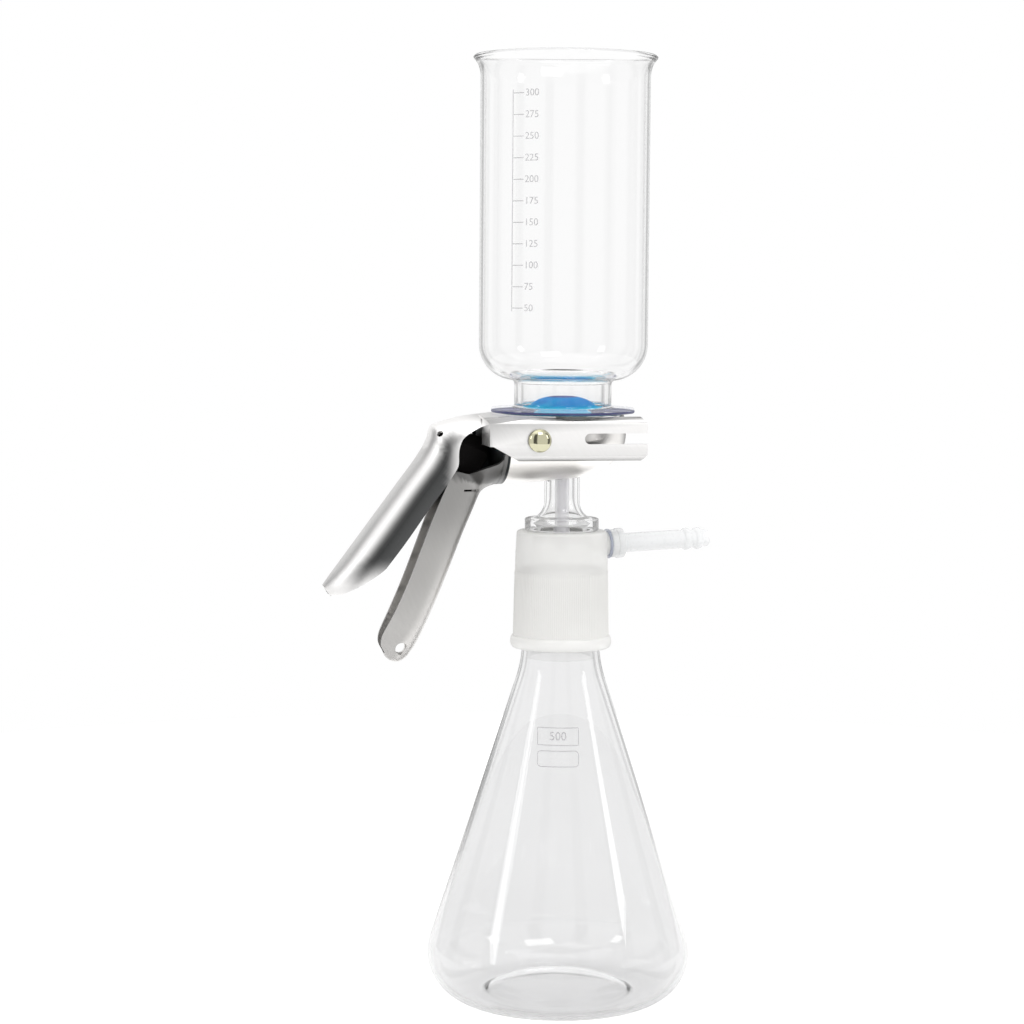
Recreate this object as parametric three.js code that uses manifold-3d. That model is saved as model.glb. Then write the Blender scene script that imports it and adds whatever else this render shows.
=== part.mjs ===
// Vacuum filtration unit: a graduated glass funnel and a glass base held together by a spring
// clamp, on a frosted joint cap with a side arm, over a conical flask.
// Millimetres, +Z up. The glass axis is X = Y = 0 while the pieces are made. The whole unit is
// then moved along X, so that the origin is the middle of its outline on the standing plane.
import * as THREE from 'three';
import { mergeVertices } from 'three/addons/utils/BufferGeometryUtils.js';
import Module from 'manifold-3d';

const wasm = await Module();
wasm.setup();

const degrees = Math.PI / 180;
const centreX = 17;         // glass axis, from the middle of the whole outline
const roundSegments = 40;
const smallSegments = 20;
const arcDivisions = 3;
const gap = 0.3;            // clearance between pieces that rest on or in each other
const faceGap = 0.1;        // clearance between ground flat faces

const flask = {
  radius: 53.3,             // widest, at the top of the heel
  heelRadius: 19,
  footWidth: 3,             // flat ring that it stands on
  pushUp: 6.5,              // height of the raised centre of the bottom
  wall: 2,
  neckRadius: 15.5,         // outside, at the foot of the neck
  neckTopRadius: 16.9,
  neckWall: 1.7,
  neckLength: 36.7,         // from the top of the cone to the rim
  socketTaper: 0.7,         // the neck's wall is this much thicker at the rim
  height: 175.4,
};

const cap = {
  height: 15.4,             // from the flask's rim to the top face
  topWall: 1.2,             // the upper part stands this far outside the flask's rim
  skirtRoom: 0.9,           // between the flask's rim and the skirt
  skirtWall: 1.4,
  edgeRadius: 1.8,
  beadWidth: 1.2,           // the bead stands this far out from the skirt
  beadHeight: 4.9,
  skirtLength: 31.6,        // from the flask's rim down to the bottom of the bead
  plugLength: 36,           // tapered plug in the flask's neck, from the rim down
  plugRoom: 0.2,            // between the plug's foot and the foot of the neck
  plugWall: 1.6,            // at its foot
  sealWidth: 1.6,           // counterbore for the sealing ring, round the bore
  sealHeight: 1.2,
};

const arm = {
  turn: 18 * degrees,       // side arm's direction, from +X towards +Y
  tilt: 2 * degrees,
  drop: 5.9,                // its axis leaves the cap's wall this far below the top face
  bossRadius: 4.6,
  bossLength: 5.9,          // from the cap's wall
  boreRadius: 2.4,
  sealWidth: 1,
  sealSpan: 1.4,            // seal's radius beyond the boss
  nutSpan: 1.45,            // nut's radius beyond the boss
  nutOverhang: 1.9,         // nut's end beyond the boss
  nutRimWidth: 3,
  tubeRadius: 3.85,
  barbRise: 0.75,
  length: 44.9,             // from the cap's wall
  wall: 1.3,
};

const frit = { radius: 17, thickness: 3 };

const base = {
  height: 46.95,            // from the cap's top face to the ground face
  headWall: 5.9,            // round the frit
  headDepth: 13,
  spigotStep: 1.7,          // ground face that carries the filter, beyond the head's wall
  spigotHeight: 1.85,
  flangeStep: 1.9,          // flange beyond the spigot
  flangeHeight: 2.5,
  stemRadius: 7.1,
  stemWall: 1.9,
  flareRadius: 7,
  ringLip: 0.75,            // shoulder ring on the cap, beyond the flare
  ringTop: 5,               // from the cap's top face
  plugRoom: 0.5,            // between the base's plug and the cap's bore
  plugWall: 1.4,
  plugLength: 4.6,
};

const tube = {
  radius: 2.85,
  bore: 1.9,
  room: 0.35,               // between the tube and the base's throat
  tipSwell: 0.7,
  tipLength: 8.5,
  drop: 8.4,                // tip below the cap's top face
};

const filter = {
  inset: 1.1,               // rim inside the edge of the ground face
  thickness: 0.25,
  domeRoom: 1.4,            // between the dome and the funnel's bore
  domeHeight: 6.4,
  flatRadius: 4.6,
};

const funnel = {
  flangeRadius: 28.7,
  flangeThickness: 2,
  neckWall: 2.4,            // the bore is as wide as the frit
  neckLength: 12.9,         // from the ground face to the underside of the cup
  radius: 33.7,
  shoulderRadius: 14.5,
  wall: 1.8,
  height: 141.2,            // from the ground face to the top of the rim
  rimFlare: 2.9,            // rim beyond the cup's wall
  rimHeight: 9,
  beadRadius: 1.1,
};

const sheet = 1.5;          // thickness of the clamp's pressed metal
const clamp = {
  turn: 11 * degrees,       // handles swing this far towards -Y
  pivotX: -15.2,
  pivotDrop: 9.1,           // pivot axis below the fork's top face
};

const fork = {
  sideRoom: 0.5,            // between the base's flange and the side walls
  mouthRoom: 0.5,           // between the base's spigot and the cut-out
  height: 17.3,
  back: -34.8,
  tip: 28.1,
  topFold: 3.2,
  bottomFold: 2.7,
  tipChamfer: 2.4,
  heelRise: 5.8,            // lower edge rises this much towards the back
  heelLength: 12.3,
  slotHeight: 4.2,
  slotStart: 2.9,
  slotDrop: 8.5,            // slot's middle below the top face
  reliefInset: 0.4,         // turned relief, inside the outer wall
  reliefStart: -8.3,
  reliefDepth: 2.3,
  neckHalfWidth: 12.5,
  crownDrop: 2.4,           // top face falls this much to the sides at the back
  crownLength: 20.8,
};

const jaw = {
  sideRoom: 1.5,            // between the jaw and the fork's walls, where the washers are
  depth: 18.8,
  wallHeight: 3.1,          // straight wall above the dished part
  fall: 0.055,              // slope of the trough behind the glass axis
  back: -28,
  stemRoom: 1.5,            // between the base's stem and the slot
  earRadius: 5.5,
  backDrop: 10.5,           // rim at the back lies this far below the rim at the front
};

const rivet = { shank: 2, headRadius: 4.6, headHeight: 3, edge: 0.6, tailRadius: 3, tailHeight: 1.2 };
const washer = { radius: 4.2, room: 0.3 };
const spring = { halfWidth: 5.3, thickness: 0.8, wingInset: 0.1 };

// Radii that follow from the sizes above, so that what fits together stays together.
const socketRadius = flask.neckTopRadius - flask.neckWall - flask.socketTaper;
cap.topRadius = flask.neckTopRadius + cap.topWall;
cap.skirtRadius = flask.neckTopRadius + cap.skirtRoom + cap.skirtWall;
cap.plugRadius = socketRadius - gap;
cap.plugFootRadius = flask.neckRadius - flask.neckWall - cap.plugRoom;
cap.boreRadius = cap.plugFootRadius - cap.plugWall;
cap.sealRadius = cap.boreRadius + cap.sealWidth;
arm.sealStart = cap.topRadius + 1.1;
arm.bossEnd = cap.topRadius + arm.bossLength;
arm.nutEnd = arm.bossEnd + arm.nutOverhang;
arm.end = cap.topRadius + arm.length;
base.plugRadius = cap.boreRadius - base.plugRoom;
base.ringRadius = base.stemRadius + base.flareRadius + base.ringLip;
base.headRadius = frit.radius + base.headWall;
base.spigotRadius = base.headRadius + base.spigotStep;
base.flangeRadius = base.spigotRadius + base.flangeStep;
base.throatRadius = tube.radius + tube.room;
filter.radius = base.spigotRadius - filter.inset;
filter.domeRadius = frit.radius - filter.domeRoom;
funnel.neckRadius = frit.radius + funnel.neckWall;
fork.halfWidth = base.flangeRadius + fork.sideRoom + sheet;
jaw.halfWidth = fork.halfWidth - sheet - jaw.sideRoom;

// Levels that follow in the same way.
const capTop = flask.height + cap.height;
const ringTop = capTop + base.ringTop;
const seatFace = capTop + base.height;                     // ground face of the base
const spigotFoot = seatFace - base.spigotHeight;
const flangeFoot = spigotFoot - base.flangeHeight;
const headFoot = flangeFoot - base.headDepth;
const funnelFoot = seatFace + filter.thickness + 2 * faceGap;
const forkTop = spigotFoot + gap + sheet;
const forkFoot = forkTop - fork.height;
const pivotZ = forkTop - clamp.pivotDrop;
const jawRim = flangeFoot - gap;
const jawFoot = jawRim - jaw.wallHeight - jaw.depth;

const glass = new THREE.MeshStandardMaterial({ color: 0xe9eef0, roughness: 0.05, metalness: 0 });
const frostedGlass = new THREE.MeshStandardMaterial({ color: 0xe8e7e4, roughness: 0.5, metalness: 0 });
const sintered = new THREE.MeshStandardMaterial({ color: 0xf2f2ee, roughness: 0.9, metalness: 0 });
const paleTube = new THREE.MeshStandardMaterial({ color: 0xe4e1ea, roughness: 0.4, metalness: 0 });
const bluePolymer = new THREE.MeshStandardMaterial({ color: 0x0072be, roughness: 0.45, metalness: 0 });
const translucentPlastic = new THREE.MeshStandardMaterial({ color: 0xe6e7e8, roughness: 0.4, metalness: 0 });
const darkRubber = new THREE.MeshStandardMaterial({ color: 0x1b2433, roughness: 0.7, metalness: 0 });
const clearRubber = new THREE.MeshStandardMaterial({ color: 0xdcdcd8, roughness: 0.6, metalness: 0 });
const satinAluminium = new THREE.MeshStandardMaterial({ color: 0xd6d5d3, roughness: 0.35, metalness: 1 });
const nickelBrass = new THREE.MeshStandardMaterial({ color: 0xc9c4a8, roughness: 0.2, metalness: 1 });
const springSteel = new THREE.MeshStandardMaterial({ color: 0x2a2b2d, roughness: 0.45, metalness: 1 });

// --- Working with solids ---

// Closed mesh of a geometry, with its shared corners merged and its flat triangles dropped.
function toSolid(geometry) {
  const bare = geometry.clone();
  bare.deleteAttribute('normal');
  bare.deleteAttribute('uv');
  const merged = mergeVertices(bare, 1e-4);
  const index = merged.index.array;
  const triangles = [];
  for (let i = 0; i < index.length; i += 3) {
    const [a, b, c] = [index[i], index[i + 1], index[i + 2]];
    if (a !== b && b !== c && c !== a) triangles.push(a, b, c);
  }
  return new wasm.Manifold(new wasm.Mesh({
    numProp: 3,
    vertProperties: new Float32Array(merged.attributes.position.array),
    triVerts: new Uint32Array(triangles),
  }));
}

function toGeometry(solid) {
  const { vertProperties, triVerts } = solid.getMesh();
  const geometry = new THREE.BufferGeometry();
  geometry.setAttribute('position', new THREE.BufferAttribute(new Float32Array(vertProperties), 3));
  geometry.setIndex(new THREE.BufferAttribute(new Uint32Array(triVerts), 1));
  geometry.computeVertexNormals();
  return geometry;
}

function piece(name, geometry, material) {
  const mesh = new THREE.Mesh(geometry, material);
  mesh.name = name;
  return mesh;
}

// Turned shape about Z. The path runs anticlockwise in (radius, height) and closes on itself
// or starts and ends on the axis.
function lathe(path, segments = roundSegments, divisions = arcDivisions) {
  return new THREE.LatheGeometry(path.getPoints(divisions), segments).rotateX(Math.PI / 2);
}

function ring(inner, outer, low, high, segments = smallSegments) {
  const path = new THREE.Path().moveTo(inner, low).lineTo(outer, low).lineTo(outer, high);
  return lathe(path.lineTo(inner, high).lineTo(inner, low), segments);
}

function rod(radius, low, high, segments = smallSegments) {
  const path = new THREE.Path().moveTo(0, low).lineTo(radius, low).lineTo(radius, high).lineTo(0, high);
  return lathe(path, segments);
}

// Block between two corners.
function block(x0, y0, z0, x1, y1, z1) {
  const box = new THREE.BoxGeometry(x1 - x0, y1 - y0, z1 - z0);
  return toSolid(box.translate((x0 + x1) / 2, (y0 + y1) / 2, (z0 + z1) / 2));
}

// Outline in (x, z), as thick along Y as from low to high.
function slabAcross(shape, low, high) {
  const geometry = new THREE.ExtrudeGeometry(shape, {
    depth: high - low, bevelEnabled: false, curveSegments: 2 * arcDivisions,
  });
  return toSolid(geometry.rotateX(Math.PI / 2).translate(0, high, 0));
}

// Outline in (y, z), as long along X as from low to high.
function barAlong(shape, low, high) {
  const geometry = new THREE.ExtrudeGeometry(shape, {
    depth: high - low, bevelEnabled: false, curveSegments: 2 * arcDivisions,
  });
  return toSolid(geometry.rotateX(Math.PI / 2).rotateZ(Math.PI / 2).translate(low, 0, 0));
}

function polygon(...corners) {
  return new THREE.Shape(corners.map(([x, y]) => new THREE.Vector2(x, y)));
}

function mirrored(solid) {
  return solid.add(solid.mirror([0, 1, 0]));
}

// --- Glass ---

function flaskGeometry() {
  const { radius, heelRadius, wall, neckRadius, neckTopRadius, neckWall, height } = flask;
  const heelX = radius - heelRadius;
  const coneTop = height - flask.neckLength;
  const run = [neckRadius - heelX, coneTop - heelRadius];      // from the heel's centre
  const coneAngle = Math.atan2(run[1], run[0]) - Math.acos(heelRadius / Math.hypot(...run));
  const slope = Math.tan(coneAngle);
  const coneRadius = (z) => heelX + heelRadius / Math.cos(coneAngle) - (z - heelRadius) * slope;
  const innerHeel = heelRadius - wall;
  const coneInner = wall / Math.cos(coneAngle);
  const neckInside = neckRadius - neckWall;
  const innerConeTop = coneTop - (coneInner - neckWall) / slope;
  const footInner = heelX - flask.footWidth;
  const path = new THREE.Path()
    .moveTo(0, flask.pushUp)
    .quadraticCurveTo(footInner * 0.75, flask.pushUp * 0.85, footInner, 0)
    .lineTo(heelX, 0)
    .absarc(heelX, heelRadius, heelRadius, -Math.PI / 2, coneAngle, false)
    .lineTo(coneRadius(coneTop - 3), coneTop - 3)
    .quadraticCurveTo(neckRadius, coneTop, neckRadius + 0.05, coneTop + 3)
    .lineTo(neckTopRadius, height - 1)
    .quadraticCurveTo(neckTopRadius, height, neckTopRadius - 1, height)
    .lineTo(socketRadius + 0.2, height)
    .lineTo(socketRadius, height - 0.6)
    .lineTo(neckInside, coneTop)
    .lineTo(neckInside, innerConeTop)
    .lineTo(heelX + innerHeel * Math.cos(coneAngle), heelRadius + innerHeel * Math.sin(coneAngle))
    .absarc(heelX, heelRadius, innerHeel, coneAngle, -Math.PI / 2, true)
    .lineTo(footInner, wall + 0.4)
    .quadraticCurveTo(footInner * 0.75, flask.pushUp * 0.85 + wall + 0.4, 0, flask.pushUp + wall);
  return lathe(path);
}

function capProfile() {
  const rim = flask.height;
  const low = rim - cap.skirtLength;
  const beadMiddle = low + cap.beadHeight / 2;
  const beadHalf = cap.beadHeight / 2;
  const plugFoot = cap.plugFootRadius;
  const plugLow = rim - cap.plugLength;
  const roof = rim + gap;
  const inside = cap.skirtRadius - cap.skirtWall;
  return new THREE.Path()
    .moveTo(cap.boreRadius, plugLow)
    .lineTo(plugFoot - 0.4, plugLow)
    .lineTo(plugFoot, plugLow + 0.6)
    .lineTo(cap.plugRadius, roof)
    .lineTo(flask.neckTopRadius + gap, roof)
    .lineTo(inside, low + cap.beadHeight)
    .lineTo(inside, low + 0.6)
    .lineTo(inside + 0.6, low)
    .lineTo(cap.skirtRadius, low)
    .absellipse(cap.skirtRadius, beadMiddle, cap.beadWidth, beadHalf,
      -Math.PI / 2, Math.PI / 2, false)
    .lineTo(cap.topRadius + 0.4, capTop - cap.edgeRadius - 8)
    .absarc(cap.topRadius - cap.edgeRadius, capTop - cap.edgeRadius, cap.edgeRadius, 0, Math.PI / 2, false)
    .lineTo(cap.sealRadius + gap, capTop)
    .lineTo(cap.sealRadius + gap, capTop - cap.sealHeight - gap)
    .lineTo(cap.boreRadius, capTop - cap.sealHeight - gap)
    .lineTo(cap.boreRadius, plugLow);
}

// Lays a geometry that was made along +Z out along the side arm.
function alongArm(geometry) {
  return geometry.rotateY(Math.PI / 2);
}

function armGroup() {
  const group = new THREE.Group();
  group.position.z = capTop - arm.drop - Math.sin(arm.tilt) * cap.topRadius;
  group.rotation.set(0, -arm.tilt, arm.turn, 'ZYX');
  return group;
}

function jointCapGeometry() {
  const body = toSolid(lathe(capProfile()));
  const placed = armGroup();
  placed.updateMatrix();
  const boss = toSolid(alongArm(rod(arm.bossRadius, cap.boreRadius + 1.5, arm.bossEnd)).applyMatrix4(placed.matrix));
  const bore = toSolid(alongArm(rod(arm.boreRadius, cap.boreRadius - 3, arm.bossEnd + 1)).applyMatrix4(placed.matrix));
  return toGeometry(body.add(boss).subtract(bore));
}

function filterBaseGeometry() {
  const inner = base.stemRadius - base.stemWall;
  const recess = frit.radius + gap;
  const recessFloor = seatFace - frit.thickness - gap;
  const plugBore = base.plugRadius - base.plugWall;
  const ringFoot = capTop + gap;
  const flareX = base.stemRadius + base.flareRadius;
  const flareZ = ringTop - 0.4 + base.flareRadius;
  const innerFlareTop = flareZ + 2;
  const sealWeb = headFoot - 4.5;
  const path = new THREE.Path()
    .moveTo(plugBore, capTop - base.plugLength)
    .lineTo(base.plugRadius, capTop - base.plugLength)
    .lineTo(base.plugRadius, ringFoot)
    .lineTo(base.ringRadius, ringFoot)
    .lineTo(base.ringRadius, ringTop - 0.5)
    .lineTo(base.ringRadius - 0.5, ringTop)
    .lineTo(flareX - 0.4, ringTop - 0.4)
    .absarc(flareX, flareZ, base.flareRadius, -Math.PI / 2 - 0.06, -Math.PI, true)
    .lineTo(base.stemRadius, headFoot - 3)
    .quadraticCurveTo(base.stemRadius, headFoot + 0.4, base.stemRadius + 3.4, headFoot + 0.9)
    .quadraticCurveTo(base.headRadius, headFoot + 2.5, base.headRadius, flangeFoot - 2)
    .lineTo(base.headRadius, flangeFoot)
    .lineTo(base.flangeRadius - 0.4, flangeFoot)
    .lineTo(base.flangeRadius, flangeFoot + 0.4)
    .lineTo(base.flangeRadius, spigotFoot - 0.9)
    .lineTo(base.flangeRadius - 0.9, spigotFoot)
    .lineTo(base.spigotRadius, spigotFoot)
    .lineTo(base.spigotRadius, seatFace)
    .lineTo(recess, seatFace)
    .lineTo(recess, recessFloor)
    .lineTo(recess - 1.8, recessFloor)
    .quadraticCurveTo(recess - 2, headFoot + 6.5, base.throatRadius + 4, headFoot + 4)
    .quadraticCurveTo(base.throatRadius, headFoot + 3, base.throatRadius, headFoot)
    .lineTo(base.throatRadius, sealWeb)
    .lineTo(inner, sealWeb - 1)
    .lineTo(inner, innerFlareTop)
    .quadraticCurveTo(inner + 0.6, ringTop + 0.5, plugBore + 1.4, ringTop - 2.2)
    .lineTo(plugBore, ringTop - 4)
    .lineTo(plugBore, capTop - base.plugLength);
  return lathe(path, roundSegments, 2);
}

function fritGeometry() {
  return rod(frit.radius, seatFace - frit.thickness, seatFace, roundSegments);
}

// Tube from the head's throat down to a wider, rounded tip.
function dripTubeGeometry() {
  const top = headFoot + 1.5;
  const low = capTop - tube.drop;
  const tipTop = low + tube.tipLength;
  const tipRadius = tube.radius + tube.tipSwell;
  const path = new THREE.Path()
    .moveTo(tube.bore, low)
    .lineTo(tube.bore + 0.2, low)
    .quadraticCurveTo(tipRadius, low + 0.4, tipRadius, low + 3.2)
    .lineTo(tipRadius, tipTop - 1.5)
    .quadraticCurveTo(tipRadius, tipTop, tube.radius - 0.4, tipTop + 0.6)
    .lineTo(tube.radius, ringTop + 6)
    .lineTo(tube.radius, top)
    .lineTo(tube.bore, top)
    .lineTo(tube.bore, low);
  return lathe(path, smallSegments, 2);
}

// Flat rim between the ground faces, and a dome with a small flat top in the funnel's neck.
function filterGeometry() {
  const low = seatFace + faceGap;
  const high = low + filter.thickness;
  const { domeRadius, domeHeight, flatRadius } = filter;
  const top = high + domeHeight;
  const path = new THREE.Path()
    .moveTo(0, low)
    .lineTo(filter.radius, low)
    .lineTo(filter.radius, high)
    .lineTo(domeRadius, high)
    .quadraticCurveTo(domeRadius * 0.72, high + domeHeight * 0.86, flatRadius, top)
    .lineTo(0, top);
  return lathe(path);
}

function funnelGeometry() {
  const { flangeRadius, flangeThickness, neckRadius, radius, wall, beadRadius } = funnel;
  const boreRadius = frit.radius;
  const shoulderRadius = Math.min(funnel.shoulderRadius, radius - neckRadius);
  const foot = funnelFoot;
  const flangeTop = foot + flangeThickness;
  const floor = foot + funnel.neckLength;
  const top = foot + funnel.height;
  const flareFoot = top - funnel.rimHeight;
  const inner = radius - wall;
  const rimRadius = radius + funnel.rimFlare;
  const path = new THREE.Path()
    .moveTo(boreRadius, foot)
    .lineTo(flangeRadius - 0.3, foot)
    .lineTo(flangeRadius, foot + 0.3)
    .lineTo(flangeRadius, flangeTop - 0.3)
    .lineTo(flangeRadius - 0.3, flangeTop)
    .lineTo(neckRadius + 1, flangeTop)
    .quadraticCurveTo(neckRadius, flangeTop, neckRadius, flangeTop + 1)
    .lineTo(neckRadius, floor - 1)
    .quadraticCurveTo(neckRadius, floor, neckRadius + 1, floor)
    .absarc(radius - shoulderRadius, floor + shoulderRadius, shoulderRadius, -84 * degrees, 0, false)
    .lineTo(radius, flareFoot)
    .quadraticCurveTo(radius, top - 4, rimRadius - 0.3, top - beadRadius - 0.5)
    .absarc(rimRadius - beadRadius, top - beadRadius, beadRadius, 0, Math.PI, false)
    .quadraticCurveTo(inner, top - 5, inner, flareFoot)
    .absarc(radius - shoulderRadius, floor + shoulderRadius, shoulderRadius - wall, 0, -Math.PI / 2, true)
    .lineTo(boreRadius + 2, floor + wall)
    .quadraticCurveTo(boreRadius, floor + wall, boreRadius, floor - 0.6)
    .lineTo(boreRadius, foot);
  return lathe(path);
}

// --- Side arm ---

function portNutGeometry() {
  const seat = arm.bossEnd + gap + 0.8 + gap;
  const start = arm.sealStart + arm.sealWidth + gap;
  const bore = arm.bossRadius + gap;
  const outside = arm.bossRadius + arm.nutSpan;
  const path = new THREE.Path()
    .moveTo(bore, start)
    .lineTo(outside - 0.35, start)
    .lineTo(outside - 0.35, arm.nutEnd - arm.nutRimWidth)
    .lineTo(outside, arm.nutEnd - arm.nutRimWidth + 0.3)
    .lineTo(outside, arm.nutEnd - 0.4)
    .lineTo(outside - 0.4, arm.nutEnd)
    .lineTo(arm.tubeRadius + gap, arm.nutEnd)
    .lineTo(arm.tubeRadius + gap, seat)
    .lineTo(bore, seat)
    .lineTo(bore, start);
  return alongArm(lathe(path, smallSegments));
}

// Hose connector: a flange held by the nut, a slim tube and two rounded barbs.
function hoseBarbGeometry() {
  const start = arm.bossEnd + gap;
  const { tubeRadius, end, wall } = arm;
  const barbRadius = tubeRadius + arm.barbRise;
  const path = new THREE.Path()
    .moveTo(arm.boreRadius, start)
    .lineTo(arm.bossRadius, start)
    .lineTo(arm.bossRadius, start + 0.8)
    .lineTo(tubeRadius + 0.05, start + 0.8)
    .lineTo(tubeRadius, end - 12);
  for (const middle of [end - 9.5, end - 4.5]) {
    path.lineTo(tubeRadius - 0.2, middle - 1.7).lineTo(barbRadius - 0.25, middle - 1.2);
    path.quadraticCurveTo(barbRadius + 0.1, middle, barbRadius - 0.3, middle + 1).lineTo(tubeRadius - 0.2, middle + 1.9);
  }
  path.lineTo(tubeRadius - 0.5, end).lineTo(tubeRadius - wall, end)
    .lineTo(tubeRadius - wall, start + 3).lineTo(arm.boreRadius, start + 2).lineTo(arm.boreRadius, start);
  return alongArm(lathe(path, smallSegments, 2));
}

// --- Clamp ---

// Point of a channel's section, as [across, below the crown], at an angle from the crown. The
// section is an ellipse at a squareness of 1, and has flatter walls above that.
function channelPoint(halfWidth, rise, angle, squareness) {
  const bend = (value) => Math.sign(value) * Math.abs(value) ** (1 / squareness);
  return [halfWidth * bend(Math.sin(angle)), rise * (1 - bend(Math.cos(angle)))];
}

// Channel of pressed sheet along a bent path. Each station gives the crown's x and z, the
// direction in which the channel opens, in degrees from +X, its half width, how deep its free
// edges lie below the crown, the angle through which the section wraps, and its squareness.
function channel(stations, across = 12) {
  const positions = [];
  const [first, second] = stations;
  const hand = (second[0] - first[0]) * Math.sin(first[2] * degrees) > 0 ? 1 : -1;
  for (const [x, z, opens, halfWidth, depth, wraps, squareness = 1] of stations) {
    const wrap = wraps * degrees;
    const rise = depth / channelPoint(1, 1, wrap, squareness)[1];
    const direction = [Math.cos(opens * degrees), Math.sin(opens * degrees)];
    for (const inset of [0, sheet]) {
      for (let i = 0; i <= across; i += 1) {
        const angle = wrap * (2 * i / across - 1);
        const [side, height] = channelPoint(halfWidth - inset, rise - inset, angle, squareness);
        const h = height + inset;
        positions.push(x + direction[0] * h, hand * side, z + direction[1] * h);
      }
    }
  }
  const row = across + 1;
  const station = 2 * row;
  const index = [];
  const quad = (a, b, c, d) => index.push(a, b, c, a, c, d);
  const last = (stations.length - 1) * station;
  for (let s = 0; s < last; s += station) {
    for (let i = 0; i < across; i += 1) {
      quad(s + i, s + i + 1, s + station + i + 1, s + station + i);
      quad(s + row + i, s + station + row + i, s + station + row + i + 1, s + row + i + 1);
    }
    quad(s, s + station, s + station + row, s + row);
    quad(s + across, s + row + across, s + station + row + across, s + station + across);
  }
  for (let i = 0; i < across; i += 1) {
    quad(i, i + row, i + row + 1, i + 1);
    quad(last + i, last + i + 1, last + row + i + 1, last + row + i);
  }
  const geometry = new THREE.BufferGeometry();
  geometry.setAttribute('position', new THREE.Float32BufferAttribute(positions, 3));
  geometry.setIndex(index);
  return toSolid(geometry);
}

// Section of the fork in (y, z): outside, or inside with its opening at the bottom.
function forkSection(inset) {
  const side = fork.halfWidth - inset;
  const top = forkTop - inset;
  const topFold = fork.topFold - inset;
  const bottomFold = fork.bottomFold - inset;
  const low = forkFoot + fork.bottomFold;
  const lip = inset > 0 ? 86 * degrees : 90 * degrees;
  const shape = new THREE.Shape();
  shape.absarc(fork.halfWidth - fork.bottomFold, low, bottomFold, -lip, 0, false);
  shape.absarc(side - topFold, top - topFold, topFold, 0, Math.PI / 2, false);
  shape.absarc(topFold - side, top - topFold, topFold, Math.PI / 2, Math.PI, false);
  shape.absarc(fork.bottomFold - fork.halfWidth, low, bottomFold, Math.PI, Math.PI + lip, false);
  if (inset > 0) {
    const lipY = fork.halfWidth - fork.bottomFold + fork.bottomFold * Math.cos(lip);
    shape.lineTo(-lipY, forkFoot - 1);
    shape.lineTo(lipY, forkFoot - 1);
  }
  shape.closePath();
  return shape;
}

// Slopes a solid along X about x = 0: it rises by the slope towards +X.
function sloped(solid, slope, x0 = 0) {
  const matrix = new THREE.Matrix4().set(1, 0, 0, 0, 0, 1, 0, 0, slope, 0, 1, -slope * x0, 0, 0, 0, 1);
  return solid.transform(matrix.elements);
}

// Arched solid that rounds off the fork's top face towards the back.
function forkCrown(inset) {
  const wide = fork.halfWidth + 2;
  const top = forkTop - 0.3 - inset;
  const fall = fork.crownDrop * (wide / fork.halfWidth) ** 2;
  const shape = new THREE.Shape().moveTo(-wide, forkFoot - 8).lineTo(wide, forkFoot - 8).lineTo(wide, top - fall);
  shape.quadraticCurveTo(0, top + fall, -wide, top - fall);
  return sloped(barAlong(shape, fork.back - 2, fork.tip + 4), fork.crownDrop / fork.crownLength, fork.back);
}

function forkSolid() {
  const { back, tip, halfWidth, tipChamfer } = fork;
  const wide = halfWidth + 2;
  const cutTop = forkTop + 2;
  const body = barAlong(forkSection(0), back, tip).intersect(forkCrown(0))
    .subtract(barAlong(forkSection(sheet), back + sheet, tip + 2).intersect(forkCrown(sheet)));
  const neckOpening = block(back - 1, sheet - fork.neckHalfWidth, forkFoot - 1,
    back + sheet + 1, fork.neckHalfWidth - sheet, forkTop - sheet);
  const heel = slabAcross(polygon([back - 1, forkFoot + fork.heelRise], [back + sheet, forkFoot + fork.heelRise],
    [back + sheet + fork.heelLength, forkFoot - 1], [back - 1, forkFoot - 1]), -wide, wide);
  const chamfers = slabAcross(polygon([tip - tipChamfer, cutTop], [tip - tipChamfer, forkTop],
    [tip, forkTop - tipChamfer], [tip + 1, forkTop - tipChamfer], [tip + 1, cutTop]), -wide, wide)
    .add(slabAcross(polygon([tip - tipChamfer, forkFoot - 1], [tip + 1, forkFoot - 1],
      [tip + 1, forkFoot + tipChamfer], [tip, forkFoot + tipChamfer], [tip - tipChamfer, forkFoot]), -wide, wide));
  const mouth = base.spigotRadius + fork.mouthRoom;
  const cutOut = toSolid(rod(mouth, forkTop - sheet - 1, cutTop, roundSegments))
    .add(block(0, -mouth, forkTop - sheet - 1, tip + 1, mouth, cutTop));
  const relief = toSolid(rod(halfWidth - fork.reliefInset, forkTop - fork.reliefDepth, cutTop, roundSegments))
    .intersect(block(fork.reliefStart, -wide, forkFoot, tip / 2, wide, cutTop));
  const slotZ = forkTop - fork.slotDrop;
  const slotHalf = fork.slotHeight / 2;
  const slot = block(fork.slotStart + slotHalf, -wide, slotZ - slotHalf, tip + 1, wide, slotZ + slotHalf)
    .add(acrossAt(rod(slotHalf, -wide, wide), fork.slotStart + slotHalf, slotZ));
  return body.subtract(neckOpening).subtract(heel).subtract(chamfers)
    .subtract(cutOut).subtract(relief).subtract(slot);
}

// Solid of a geometry made along +Z, laid across the clamp (along Y) at x, z.
function acrossAt(geometry, x, z) {
  return toSolid(geometry.rotateX(Math.PI / 2).translate(x, 0, z));
}

function pivotHoles() {
  return acrossAt(rod(rivet.shank + gap, -fork.halfWidth - 2, fork.halfWidth + 2), clamp.pivotX, pivotZ);
}

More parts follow.
